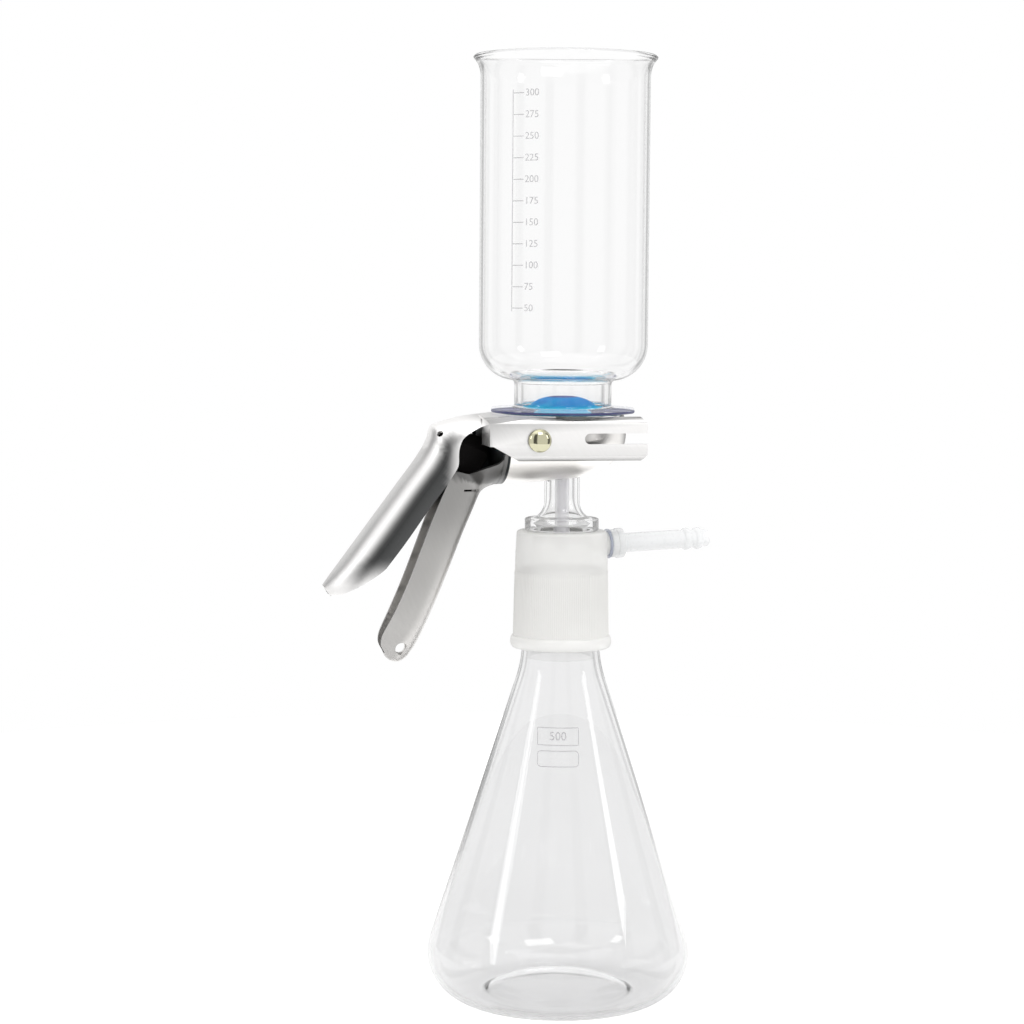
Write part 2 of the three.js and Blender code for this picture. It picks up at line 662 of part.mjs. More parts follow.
function upperArmGeometry() {
  const wide = fork.neckHalfWidth;
  const handle = channel([
    [fork.back + 1.2, forkTop - 0.1, -92, wide, 3.9, 62],
    [-37.5, forkTop - 0.3, -96, wide, 5.8, 74],
    [-41.2, forkTop - 0.8, -94, wide, 7.8, 86],
    [-46, forkTop - 1.9, -76, wide, 10.2, 94],
    [-50.5, forkTop - 3.2, -62, wide, 13.6, 99],
    [-53.6, forkTop - 4.7, -53, wide, 15.8, 102],
    [-55.1, forkTop - 9.4, -45, wide, 15.2, 104],
    [-57.2, forkTop - 13.8, -40, wide, 14.6, 105],
    [-67.3, forkTop - 27.9, -36.4, wide, 14.6, 106],
    [-77.2, forkTop - 41.3, -36.4, wide, 15, 106],
    [-84.6, forkTop - 51.3, -37, wide, 14.8, 104],
    [-88.6, forkTop - 56.7, -42, wide - 0.6, 12.4, 94],
    [-92.2, forkTop - 61.5, -48, wide - 2, 9.6, 80],
    [-94.8, forkTop - 65, -54, wide - 4, 7, 66],
    [-96.6, forkTop - 67.6, -56, wide - 6.5, 4, 52],
  ]);
  const slits = block(-34.2, 17.6, forkTop - 4, -29.6, 18.5, forkTop + 1);
  const bendHole = toSolid(rod(1.3, -4, 4, 12)
    .applyMatrix4(new THREE.Matrix4().makeRotationFromEuler(new THREE.Euler(0.9, -0.55, 0)))
    .translate(-50.9, -8.4, forkTop - 7.6));
  return toGeometry(forkSolid().add(handle).subtract(mirrored(slits)).subtract(bendHole)
    .subtract(pivotHoles()));
}

// Dished jaw: a half bowl at the front and a trough behind it, with a slot for the glass stem.
function jawSolid() {
  const { halfWidth, depth, back } = jaw;
  const middle = jawFoot + depth;
  const outline = (inset) => {
    const path = new THREE.Path();
    path.absellipse(0, middle, halfWidth - inset, depth - inset, -Math.PI / 2, 0, false);
    return path.lineTo(halfWidth - inset, jawRim + 3).lineTo(0, jawRim + 3);
  };
  const trough = (inset) => {
    const half = outline(inset).getPoints(arcDivisions);
    const other = half.slice(1, -1).reverse().map((p) => new THREE.Vector2(-p.x, p.y));
    return new THREE.Shape([...half, ...other]);
  };
  const filled = (inset) => toSolid(lathe(outline(inset)))
    .add(sloped(barAlong(trough(inset), back - inset, 0), jaw.fall));
  const top = block(back - 2, -halfWidth - 2, jawRim, halfWidth + 2, halfWidth + 2, jawRim + 6);
  const shell = filled(0).subtract(filled(sheet)).subtract(top);
  const slotHalf = base.stemRadius + jaw.stemRoom;
  const slot = toSolid(rod(slotHalf, jawFoot - 2, middle - 2, smallSegments))
    .add(block(0, -slotHalf, jawFoot - 2, halfWidth + 2, slotHalf, jawRim + 2));
  const behindEar = clamp.pivotX - jaw.earRadius;
  const backCut = slabAcross(polygon([behindEar, jawRim + 2], [behindEar, pivotZ],
    [back, jawRim - jaw.backDrop], [back - 20, jawRim - jaw.backDrop], [back - 20, jawRim + 2]),
  -halfWidth - 2, halfWidth + 2);
  return shell.subtract(slot).subtract(backCut);
}

function lowerArmGeometry() {
  const backFoot = jawFoot + jaw.fall * jaw.back;
  const backDepth = jawRim - jaw.backDrop - backFoot;
  const wraps = Math.acos(1 - backDepth / jaw.depth) / degrees;
  const handle = channel([
    [jaw.back + 1.2, backFoot + 0.45, 90, jaw.halfWidth - 0.35, backDepth - 0.5, wraps - 1],
    [jaw.back - 1.5, backFoot - 0.3, 94, 24, 9.6, 68],
    [-32.4, backFoot - 1.6, 112, 19, 9.2, 76],
    [-34, backFoot - 3.2, 126, 10.8, 9.8, 84, 1.3],
    [-35, backFoot - 5, 134, 9.8, 14.6, 90, 1.7],
    [-36.7, backFoot - 8.9, 150, 9.6, 14.4, 90, 1.9],
    [-41, backFoot - 18.9, 157.7, 9.5, 14.2, 90, 2],
    [-46, backFoot - 31.8, 157.7, 9.4, 14, 90, 2],
    [-51.4, backFoot - 45.2, 157.7, 9.2, 13.8, 90, 2],
    [-56.4, backFoot - 56.6, 157.7, 8.2, 13.9, 90, 2],
    [-58.8, backFoot - 61.8, 157.7, 7, 14.1, 90, 1.9],
    [-61, backFoot - 65.6, 156, 6, 13.6, 90, 1.8],
    [-63.4, backFoot - 68.9, 152, 5.2, 11.6, 90, 1.6],
    [-66.6, backFoot - 70.6, 142, 4.6, 7.2, 88, 1.4],
  ]);
  const hangHole = acrossAt(rod(2.5, -20, 20), -65.6, backFoot - 65);
  const slits = block(-41.5, 7, jawFoot - 3.8, -36.6, 20, jawFoot - 3);
  return toGeometry(jawSolid().add(handle).subtract(mirrored(slits)).subtract(hangHole)
    .subtract(pivotHoles()));
}

// Rivet made along +Z from the wall's outer face at 0: domed head, shank and closed tail.
function rivetGeometry() {
  const tail = jaw.halfWidth - sheet - 1.4 - fork.halfWidth;
  const { shank, headRadius, headHeight, edge, tailRadius, tailHeight } = rivet;
  const path = new THREE.Path()
    .moveTo(0, tail - tailHeight)
    .lineTo(tailRadius - 0.3, tail - tailHeight)
    .lineTo(tailRadius, tail - tailHeight + 0.3)
    .lineTo(tailRadius, tail)
    .lineTo(shank, tail)
    .lineTo(shank, gap)
    .lineTo(headRadius, gap)
    .lineTo(headRadius, gap + edge)
    .absellipse(0, gap + edge, headRadius, headHeight - edge, 0, Math.PI / 2, false);
  return lathe(path, smallSegments, 2);
}

function washerGeometry() {
  return ring(rivet.shank + gap, washer.radius, washer.room - sheet - jaw.sideRoom, -sheet - washer.room);
}

// Puts a geometry made along +Z on the pivot, on the front (-1) or rear (1) wall.
function onPivot(geometry, side) {
  return geometry.rotateX(-side * Math.PI / 2).translate(clamp.pivotX, side * fork.halfWidth, pivotZ);
}

// Bent strip: one leg presses on the upper handle, the other on the lower handle. A wing folded
// in at each side closes its hollow.
function springGeometry() {
  const upper = new THREE.Vector2(-50.6, forkTop - 7.2);
  const lower = new THREE.Vector2(-40.2, jawFoot - 8.6);
  const bend = new THREE.Vector2(-31.5, forkTop - 16.5);
  const line = new THREE.CatmullRomCurve3([
    upper, new THREE.Vector2(-42, forkTop - 11), new THREE.Vector2(-33.5, forkTop - 14.4), bend,
    new THREE.Vector2(-33, forkTop - 19.4), new THREE.Vector2(-37.2, jawFoot - 0.8), lower,
  ].map((p) => new THREE.Vector3(p.x, 0, p.y))).getPoints(24);
  const half = spring.thickness / 2;
  const sides = [[], []];
  line.forEach((p, i) => {
    const ahead = line[Math.min(i + 1, line.length - 1)];
    const behind = line[Math.max(i - 1, 0)];
    const along = new THREE.Vector2(ahead.x - behind.x, ahead.z - behind.z).normalize();
    sides[0].push(new THREE.Vector2(p.x - along.y * half, p.z + along.x * half));
    sides[1].push(new THREE.Vector2(p.x + along.y * half, p.z - along.x * half));
  });
  const strip = new THREE.Shape([...sides[0], ...sides[1].reverse()]);
  const wing = polygon([-47.5, forkTop - 7.6], [-42, forkTop - 6.6], [-34.5, forkTop - 8.7],
    [-31.4, forkTop - 13.2], [-31.3, forkTop - 17.4], [-32.8, forkTop - 19.6],
    [-37, jawFoot - 1], [-39, jawFoot - 5.2], [-45, jawFoot + 2.8]);
  const wingOut = spring.halfWidth - spring.wingInset;
  const wings = mirrored(slabAcross(wing, wingOut - spring.thickness, wingOut));
  return toGeometry(slabAcross(strip, -spring.halfWidth, spring.halfWidth).add(wings));
}

// --- Assembly ---

const unit = new THREE.Group();
unit.position.x = centreX;
unit.add(
  piece('flask', flaskGeometry(), glass),
  piece('joint_cap', jointCapGeometry(), frostedGlass),
  piece('cap_seal', ring(base.plugRadius + gap, cap.sealRadius, capTop - cap.sealHeight, capTop,
    roundSegments), clearRubber),
  piece('filter_base', filterBaseGeometry(), glass),
  piece('drip_tube', dripTubeGeometry(), paleTube),
  piece('frit_disc', fritGeometry(), sintered),
  piece('filter_disc', filterGeometry(), bluePolymer),
  piece('funnel', funnelGeometry(), glass),
);
const sideArm = armGroup();
sideArm.add(
  piece('port_seal', alongArm(ring(arm.bossRadius + gap, arm.bossRadius + arm.sealSpan, arm.sealStart,
    arm.sealStart + arm.sealWidth)), darkRubber),
  piece('port_nut', portNutGeometry(), translucentPlastic),
  piece('hose_barb', hoseBarbGeometry(), translucentPlastic),
);
unit.add(sideArm);

const clampGroup = new THREE.Group();
clampGroup.rotation.z = clamp.turn;
clampGroup.add(
  piece('upper_arm', upperArmGeometry(), satinAluminium),
  piece('lower_arm', lowerArmGeometry(), satinAluminium),
  piece('handle_spring', springGeometry(), springSteel),
);
for (const [name, side] of [['front', -1], ['rear', 1]]) {
  clampGroup.add(
    piece(`pivot_rivet_${name}`, onPivot(rivetGeometry(), side), nickelBrass),
    piece(`pivot_washer_${name}`, onPivot(washerGeometry(), side), satinAluminium),
  );
}
unit.add(clampGroup);

export default unit;
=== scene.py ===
import math

import bmesh
import bpy
from mathutils import Matrix, Vector


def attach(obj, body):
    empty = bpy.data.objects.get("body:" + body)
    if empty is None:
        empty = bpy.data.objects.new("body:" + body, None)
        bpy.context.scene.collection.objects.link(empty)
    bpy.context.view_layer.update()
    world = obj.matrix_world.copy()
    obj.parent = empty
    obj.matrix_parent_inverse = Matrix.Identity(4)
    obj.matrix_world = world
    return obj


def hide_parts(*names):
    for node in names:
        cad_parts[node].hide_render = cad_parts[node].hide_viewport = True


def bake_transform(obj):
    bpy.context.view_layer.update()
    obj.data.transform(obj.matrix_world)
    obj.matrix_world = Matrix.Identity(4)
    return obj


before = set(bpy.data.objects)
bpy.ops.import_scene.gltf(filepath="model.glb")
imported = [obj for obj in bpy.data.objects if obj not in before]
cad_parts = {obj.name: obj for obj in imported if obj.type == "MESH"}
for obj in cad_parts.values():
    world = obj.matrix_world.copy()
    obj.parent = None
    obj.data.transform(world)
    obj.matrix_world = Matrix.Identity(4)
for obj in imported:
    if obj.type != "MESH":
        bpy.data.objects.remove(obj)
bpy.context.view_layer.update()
mm = 0.001
rad = math.radians
glassAxis = 17.0               # mm along X from the origin
clampTurn = 11.0               # degrees, the clamp's handles swing this far to the front
toMetres = Matrix.Scale(mm, 4)
glassPlace = toMetres @ Matrix.Translation((glassAxis, 0, 0))
clampPlace = glassPlace @ Matrix.Rotation(rad(clampTurn), 4, "Z")

cameraSet = {
    "place": (-3 * mm, -1040 * mm, 289 * mm),
    "pitchDown": 5.0,          # degrees
    "roll": 0.42,
    "lens": 91.406,
    "sensor": 36,
    "clipStart": 0.05,
}


def makeCamera(s):
    data = bpy.data.cameras.new("studioCamera")
    data.lens = s["lens"]
    data.sensor_width = s["sensor"]
    data.clip_start = s["clipStart"]
    camera = bpy.data.objects.new("studioCamera", data)
    turn = Matrix.Rotation(rad(90 - s["pitchDown"]), 4, "X") @ Matrix.Rotation(rad(s["roll"]), 4, "Z")
    camera.matrix_world = Matrix.Translation(s["place"]) @ turn
    bpy.context.scene.collection.objects.link(camera)
    bpy.context.scene.camera = camera


# gives a node's inputs their values, or links them to other nodes' outputs
def fill(tree, node, values):
    for label, value in values.items():
        if isinstance(value, bpy.types.NodeSocket):
            tree.links.new(value, node.inputs[label])
        else:
            node.inputs[label].default_value = value
    return node


def addNode(tree, kind, values=None, **settings):
    node = tree.nodes.new(kind)
    for label, value in settings.items():
        setattr(node, label, value)
    return fill(tree, node, values or {})


def calc(tree, how, a, b=None):
    values = {0: a} if b is None else {0: a, 1: b}
    return addNode(tree, "ShaderNodeMath", values, operation=how).outputs[0]


def spread(tree, value, low, high, fromLow=0.3, fromHigh=0.7, kind="LINEAR"):
    values = {"Value": value, "From Min": fromLow, "From Max": fromHigh, "To Min": low, "To Max": high}
    return addNode(tree, "ShaderNodeMapRange", values, interpolation_type=kind).outputs[0]


def mixShaders(tree, factor, a, b):
    return addNode(tree, "ShaderNodeMixShader", {0: factor, 1: a, 2: b}).outputs[0]


# what some kinds of ray meet in place of the plain shader; a later one holds over an earlier one
def seenBy(tree, plain, choices):
    paths = tree.nodes.new("ShaderNodeLightPath")
    for ray, shader in choices:
        plain = mixShaders(tree, paths.outputs[ray], plain, shader)
    return plain


studio = {
    "worldLevel": 0.96,        # what lights the surfaces
    "glossLevel": 0.8,         # plain surroundings that smooth glass mirrors
    "glassBands": {"count": 8, "first": 22.5, "level": 0.5, "half": 8.0},      # dim, so that glass edges draw
    "metalBands": {"count": 4, "first": 12.0, "level": 0.12, "half": 17.0},    # dark, for what metal mirrors
    "roof": (0.5, 0.8),        # heights at which the bright roof over the bands begins and is whole
    "metalGround": (-0.4, -0.2),
    "belowHorizon": 0.8,       # level that metal sees there
    "glassGround": (-0.16, 0.02),
    "floorLevel": 0.915,       # level that glass sees there, the same as the floor's
    "lamps": {
        "leftStrip": {"az": 207, "dist": 2.3, "z": 1.06, "aim": 0.25, "size": (0.36, 0.88), "power": 3.4},
        "rightStrip": {"az": 338, "dist": 2.3, "z": 1.06, "aim": 0.25, "size": (0.36, 0.88), "power": 3.4},
        "front": {"az": 292, "dist": 1.6, "z": 1.9, "aim": 0.25, "size": (1.0, 0.8), "power": 9.0},
        "top": {"az": 225, "dist": 0.3 * math.sqrt(2), "z": 1.7, "aim": 0.2, "size": (1.4, 1.4),
                "power": 4.0},
    },
    "floorRadius": 0.7,
    "floorDrop": 0.0002,
    "floorColour": (0.77, 0.77, 0.77, 1),
    "floorMirrored": 0.46,     # glow of the floor that metal mirrors
    "floorThrough": 0.0,       # that shows through glass, in place of the mirrored one
    "floorWhite": 0.5,         # that only the camera sees
}


# lower levels in bands evenly round the horizon, the first one at an angle of its own
def bands(tree, around, s):
    count, half = s["count"], s["count"] * s["half"]
    turned = calc(tree, "MULTIPLY", around, float(count))
    wave = calc(tree, "COSINE", calc(tree, "ADD", turned, rad(180 - count * s["first"])))
    return spread(tree, wave, s["level"], 1.0, -math.cos(rad(half / 2)), -math.cos(rad(half)), "SMOOTHSTEP")


# surfaces get even light, metal and glass see the bands, the camera sees plain white
def makeWorld(s):
    world = bpy.data.worlds.new("studioWorld")
    bpy.context.scene.world = world
    world.use_nodes = True
    tree = world.node_tree
    tree.nodes.clear()
    view = addNode(tree, "ShaderNodeTexCoord").outputs["Generated"]
    view = addNode(tree, "ShaderNodeSeparateXYZ", {0: view}).outputs
    around = calc(tree, "ARCTAN2", view["X"], view["Y"])
    roof = spread(tree, view["Z"], 0.0, 1.0, *s["roof"], "SMOOTHSTEP")
    ground = spread(tree, view["Z"], s["belowHorizon"], 1.0, *s["metalGround"], "SMOOTHSTEP")
    metalView = calc(tree, "MULTIPLY", bands(tree, around, s["metalBands"]), ground)
    metalView = calc(tree, "MAXIMUM", metalView, roof)
    ground = spread(tree, view["Z"], s["floorLevel"], 1.0, *s["glassGround"], "SMOOTHSTEP")
    glassView = calc(tree, "MAXIMUM", bands(tree, around, s["glassBands"]), roof)
    glassView = calc(tree, "MULTIPLY", glassView, ground)

    def background(strength, colour=(1, 1, 1, 1)):
        return addNode(tree, "ShaderNodeBackground", {"Strength": strength, "Color": colour}).outputs[0]

    shown = seenBy(tree, background(s["worldLevel"]), [
        ("Is Glossy Ray", background(1.0, metalView)), ("Is Singular Ray", background(s["glossLevel"])),
        ("Is Transmission Ray", background(1.0, glassView)), ("Is Camera Ray", background(1.0))])
    addNode(tree, "ShaderNodeOutputWorld", {"Surface": shown})


def softLight(name, s):
    axis = glassAxis * mm
    data = bpy.data.lights.new(name, "AREA")
    data.shape = "RECTANGLE"
    data.size, data.size_y = s["size"]
    data.energy = s["power"]
    lamp = bpy.data.objects.new(name, data)
    angle = rad(s["az"])
    place = Vector((axis + s["dist"] * math.cos(angle), s["dist"] * math.sin(angle), s["z"]))
    lamp.location = place
    lamp.rotation_euler = (Vector((axis, 0, s["aim"])) - place).to_track_quat("-Z", "Y").to_euler()
    lamp.visible_camera = False
    bpy.context.scene.collection.objects.link(lamp)


def makeFloor(s):
    bm = bmesh.new()
    bmesh.ops.create_circle(bm, cap_ends=True, segments=96, radius=s["floorRadius"])
    mesh = bpy.data.meshes.new("studioFloor")
    bm.to_mesh(mesh)
    bm.free()
    floor = bpy.data.objects.new("studioFloor", mesh)
    bpy.context.scene.collection.objects.link(floor)
    floor.location = (glassAxis * mm, 0, -s["floorDrop"])
    material = bpy.data.materials.new("studioFloor")
    material.use_nodes = True
    tree = material.node_tree
    tree.nodes.clear()
    matt = addNode(tree, "ShaderNodeBsdfDiffuse", {"Color": s["floorColour"]}).outputs[0]
    choices = []
    for ray, label in (("Is Glossy Ray", "floorMirrored"), ("Is Transmission Ray", "floorThrough"),
                       ("Is Camera Ray", "floorWhite")):
        glow = addNode(tree, "ShaderNodeEmission", {"Color": (1, 1, 1, 1), "Strength": s[label]}).outputs[0]
        choices.append((ray, addNode(tree, "ShaderNodeAddShader", {0: matt, 1: glow}).outputs[0]))
    addNode(tree, "ShaderNodeOutputMaterial", {"Surface": seenBy(tree, matt, choices)})
    mesh.materials.append(material)


makeCamera(cameraSet)
makeWorld(studio)
for name, lamp in studio["lamps"].items():
    softLight(name, lamp)
makeFloor(studio)
bpy.context.scene.view_settings.view_transform = "Standard"
print("camera and studio ready")


# every shape is in mm until its piece is put in its place

# points along an elliptical arc, angles in degrees
def arc(x, z, rx, rz, start, end, steps=12):
    turns = [rad(start + (end - start) * i / steps) for i in range(steps + 1)]
    return [(x + rx * math.cos(t), z + rz * math.sin(t)) for t in turns]


# points along a curve that leaves a towards b and arrives at c
def bend(a, b, c, steps=10):
    path = []
    for i in range(steps + 1):
        t = i / steps
        path.append(tuple((1 - t) ** 2 * p + 2 * t * (1 - t) * q + t * t * r for p, q, r in zip(a, b, c)))
    return path


# bends one after another, each given as what it bends round, where it arrives, and its steps
def bends(start, *parts):
    path = []
    for corner, end, steps in parts:
        path += bend(start, corner, end, steps)
        start = end
    return path


def tidyPath(path):
    clean = [path[0]]
    for p in path[1:]:
        if math.dist(p, clean[-1]) > 1e-3:
            clean.append(p)
    return clean


def newPiece(bm, name, weld=1e-4):
    bmesh.ops.remove_doubles(bm, verts=bm.verts, dist=weld)
    bmesh.ops.recalc_face_normals(bm, faces=bm.faces)
    mesh = bpy.data.meshes.new(name)
    bm.to_mesh(mesh)
    bm.free()
    piece = bpy.data.objects.new(name, mesh)
    bpy.context.scene.collection.objects.link(piece)
    return piece


def setPlace(piece, place, sharp=35):
    piece.data.transform(place)
    piece.data.shade_smooth()
    piece.data.set_sharp_from_angle(angle=rad(sharp))
    return piece


# turned shape about Z; its outline closes on itself, or starts and ends on the axis
def turned(name, outline, segments=128):
    outline = tidyPath(outline)
    onAxis = outline[0][0] < 1e-6 and outline[-1][0] < 1e-6
    if not onAxis and math.dist(outline[0], outline[-1]) < 1e-3:
        outline = outline[:-1]
    bm = bmesh.new()
    rings = []
    for r, z in outline:
        turns = [2 * math.pi * i / segments for i in range(segments if r > 1e-6 else 1)]
        rings.append([bm.verts.new((r * math.cos(t), r * math.sin(t), z)) for t in turns])
    for a, b in list(zip(rings, rings[1:])) + ([] if onAxis else [(rings[-1], rings[0])]):
        for i in range(segments):
            j = (i + 1) % segments
            corners = [a[i % len(a)], a[j % len(a)], b[j % len(b)], b[i % len(b)]]
            loop = [v for k, v in enumerate(corners) if v is not corners[k - 1]]
            if len(set(loop)) > 2:
                bm.faces.new(loop)
    return newPiece(bm, name)


def rod(name, radius, low, high, segments=48):
    return turned(name, [(0, low), (radius, low), (radius, high), (0, high)], segments)


# prism of a closed outline; frameOf turns outline (a, b) and a depth into x, y, z
def prism(name, outline, low, high, frameOf):
    bm = bmesh.new()
    outline = tidyPath(outline)
    ends = [[bm.verts.new(frameOf(a, b, d)) for a, b in outline] for d in (low, high)]
    bm.faces.new(ends[0])
    bm.faces.new(ends[1])
    for i in range(len(outline)):
        j = (i + 1) % len(outline)
        bm.faces.new([ends[0][i], ends[0][j], ends[1][j], ends[1][i]])
    return newPiece(bm, name)


def slabAcross(name, outline, low, high):      # outline in x, z
    return prism(name, outline, low, high, lambda a, b, d: (a, d, b))


def barAlong(name, outline, low, high):        # outline in y, z
    return prism(name, outline, low, high, lambda a, b, d: (d, a, b))


def block(name, x0, y0, z0, x1, y1, z1):
    return slabAcross(name, [(x0, z0), (x1, z0), (x1, z1), (x0, z1)], y0, y1)


def moved(piece, matrix):
    piece.data.transform(matrix)
    return piece


def across(piece, x, z):                       # lays a piece made along Z out along Y
    return moved(piece, Matrix.Translation((x, 0, z)) @ Matrix.Rotation(rad(90), 4, "X"))


def applyModifiers(piece):
    graph = bpy.context.evaluated_depsgraph_get()
    done = bpy.data.meshes.new_from_object(piece.evaluated_get(graph))
    old = piece.data
    piece.modifiers.clear()
    piece.data = done
    bpy.data.meshes.remove(old)
    return piece


# cuts or joins a piece with others, and throws those away
def combine(piece, how, *tools):
    for tool in tools:
        step = piece.modifiers.new("combine", "BOOLEAN")
        step.operation = how
        step.solver = "EXACT"
        step.object = tool
        applyModifiers(piece)
        mesh = tool.data
        bpy.data.objects.remove(tool, do_unlink=True)
        bpy.data.meshes.remove(mesh)
    return piece


# rounds the edges that are sharper than an angle
def easeEdges(piece, width, segments=2, sharperThan=32):
    soft = piece.modifiers.new("easedEdges", "BEVEL")
    soft.width = width
    soft.segments = segments
    soft.limit_method = "ANGLE"
    soft.angle_limit = rad(sharperThan)
    soft.miter_outer = "MITER_ARC"
    return applyModifiers(piece)


def give(piece, material, body="unit", replaces=()):
    piece.data.materials.clear()
    piece.data.materials.append(material)
    if replaces:
        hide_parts(*replaces)
    if body:
        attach(piece, body)
    return piece


# a turned piece of the glassware, put in its place
def glassware(name, outline, segments, material, node, sharp=35):
    piece = setPlace(turned(name, outline, segments), glassPlace, sharp)
    return give(piece, material, replaces=[node])


# another finish for the faces that picks chooses by distance from the glass axis and height, in mm
def paintFaces(piece, material, picks):
    piece.data.materials.append(material)
    for face in piece.data.polygons:
        x, y, z = (v / mm for v in face.center)
        if not face.material_index and picks(math.hypot(x - glassAxis, y), z):
            face.material_index = len(piece.data.materials) - 1


def principled(name, colour, roughness, metallic=0.0):
    material = bpy.data.materials.new(name)
    material.use_nodes = True
    tree = material.node_tree
    shader = tree.nodes["Principled BSDF"]
    fill(tree, shader, {"Base Color": (*colour, 1), "Roughness": roughness, "Metallic": metallic})
    return material, tree, shader


def setSurface(tree, shown):
    tree.links.new(shown, tree.nodes["Material Output"].inputs["Surface"])


# noise on the piece's own coordinates, stretched by sizes along axes that are turned first
def noiseOf(tree, scale, detail=2.0, turn=None, sizes=None):
    source = addNode(tree, "ShaderNodeTexCoord").outputs["Object"]
    if sizes:
        values = {"Vector": source, "Rotation": turn, "Scale": [1 / size for size in sizes]}
        source = addNode(tree, "ShaderNodeMapping", values, vector_type="TEXTURE").outputs["Vector"]
    values = {"Scale": scale, "Detail": detail, "Vector": source}
    return addNode(tree, "ShaderNodeTexNoise", values).outputs[0]


def bumpOf(tree, height, strength, distance, shader):
    bump = addNode(tree, "ShaderNodeBump", {"Strength": strength, "Distance": distance, "Height": height})
    fill(tree, shader, {"Normal": bump.outputs[0]})


def mixColour(tree, factor, a, b):
    a, b = ((*colour, 1) if isinstance(colour, tuple) else colour for colour in (a, b))
    return addNode(tree, "ShaderNodeMix", {"Factor": factor, 6: a, 7: b}, data_type="RGBA").outputs[2]


def clearOf(tree, level=(1, 1, 1)):
    return addNode(tree, "ShaderNodeBsdfTransparent", {"Color": (*level, 1)}).outputs[0]


# heights in mm as a value between 0 and 1
def heightOf(tree, low, high):
    place = addNode(tree, "ShaderNodeTexCoord").outputs["Object"]
    split = addNode(tree, "ShaderNodeSeparateXYZ", {0: place})
    return spread(tree, split.outputs["Z"], 0.0, 1.0, low * mm, high * mm)


glassLook = {"ior": 1.47, "shadow": (0.94, 0.94, 0.94), "waveScale": 45.0, "waveDepth": 0.001}


# clear glass with faint waviness; lamps shine through it
def clearGlass(name, tint, waves):
    look = glassLook
    material, tree, shader = principled(name, tint, 0.0)
    fill(tree, shader, {"IOR": look["ior"], "Transmission Weight": 1.0})
    bumpOf(tree, noiseOf(tree, look["waveScale"], 1.0), waves, look["waveDepth"], shader)
    setSurface(tree, seenBy(tree, shader.outputs[0], [("Is Shadow Ray", clearOf(tree, look["shadow"]))]))
    return material


milkyLook = {
    "ior": 1.45, "cloudScale": 60.0, "roughnessSpread": 0.06, "grainDepth": 0.0003,
    "clearerFrom": 173.0, "clearerTo": 177.0,      # heights between which the cap turns clearer
}


# pale plastic or frosted glass: each surface lets some of what lies behind it show
def milky(name, colour, through, roughness, grain=900.0, bump=0.1, mottle=0.03):
    look = milkyLook
    material, tree, shader = principled(name, colour, roughness)
    darker = tuple(max(0.0, c - mottle) for c in colour)
    cloud = spread(tree, noiseOf(tree, look["cloudScale"], 3.0), 0.0, 1.0)
    fine = noiseOf(tree, grain)
    rough = spread(tree, fine, roughness - look["roughnessSpread"], roughness + look["roughnessSpread"])
    tone = mixColour(tree, cloud, colour, darker)
    fill(tree, shader, {"IOR": look["ior"], "Base Color": tone, "Roughness": rough})
    bumpOf(tree, fine, bump, look["grainDepth"], shader)
    if isinstance(through, tuple):             # less below, more above
        rise = heightOf(tree, look["clearerFrom"], look["clearerTo"])
        through = spread(tree, rise, *through, 0.0, 1.0)
    setSurface(tree, mixShaders(tree, through, shader.outputs[0], clearOf(tree)))
    return material


# shaded is the near-black colour that the painted shade and painted reflection mix towards
satinLook = {
    "brushSizes": (50.0, 1400.0, 1400.0), "cloudScale": 38.0, "darker": 0.95, "shaded": (0.02, 0.022, 0.023),
    "brushDepth": 0.0001,
}


# pressed metal, finely brushed along one direction, darkened by painted shade and painted reflection where
# the attribute shade says so
def satinMetal(name, colour, roughness, brushTurn=0.0, bump=0.03, smudge=0.05):
    look = satinLook
    material, tree, shader = principled(name, colour, roughness, 1.0)
    brushed = noiseOf(tree, 1.0, 2.0, (0, rad(brushTurn), 0), look["brushSizes"])
    cloud = noiseOf(tree, look["cloudScale"], 3.0)
    both = calc(tree, "ADD", calc(tree, "MULTIPLY", brushed, 0.5), calc(tree, "MULTIPLY", cloud, 0.5))
    darker = tuple(c * look["darker"] for c in colour)
    plain = mixColour(tree, spread(tree, both, 0.0, 1.0), colour, darker)
    shade = addNode(tree, "ShaderNodeAttribute", attribute_name="shade").outputs["Fac"]
    fill(tree, shader, {"Roughness": spread(tree, both, roughness - smudge, roughness + smudge),
                        "Base Color": mixColour(tree, shade, plain, look["shaded"])})
    bumpOf(tree, brushed, bump, look["brushDepth"], shader)
    return material


rimLook = {
    "colour": (0.9, 0.9, 0.9), "waveScale": 60.0, "waves": 0.03, "waveDepth": 0.001,
    "blend": 0.35, "ior": 1.18, "middle": (0.99, 0.99, 0.99), "edge": (0.96, 0.96, 0.96),
}


# thin clear rims: see-through in the middle, greyer towards their edges
def rimGlass(name):
    look = rimLook
    material, tree, shader = principled(name, look["colour"], 0.0)
    bumpOf(tree, noiseOf(tree, look["waveScale"], 1.0), look["waves"], look["waveDepth"], shader)
    facing = addNode(tree, "ShaderNodeLayerWeight", {"Blend": look["blend"]}).outputs["Facing"]
    tone = mixColour(tree, facing, look["middle"], look["edge"])
    clear = addNode(tree, "ShaderNodeBsdfTransparent", {"Color": tone}).outputs[0]
    gloss = addNode(tree, "ShaderNodeFresnel", {"IOR": look["ior"]}).outputs[0]
    setSurface(tree, mixShaders(tree, gloss, clear, shader.outputs[0]))
    return material


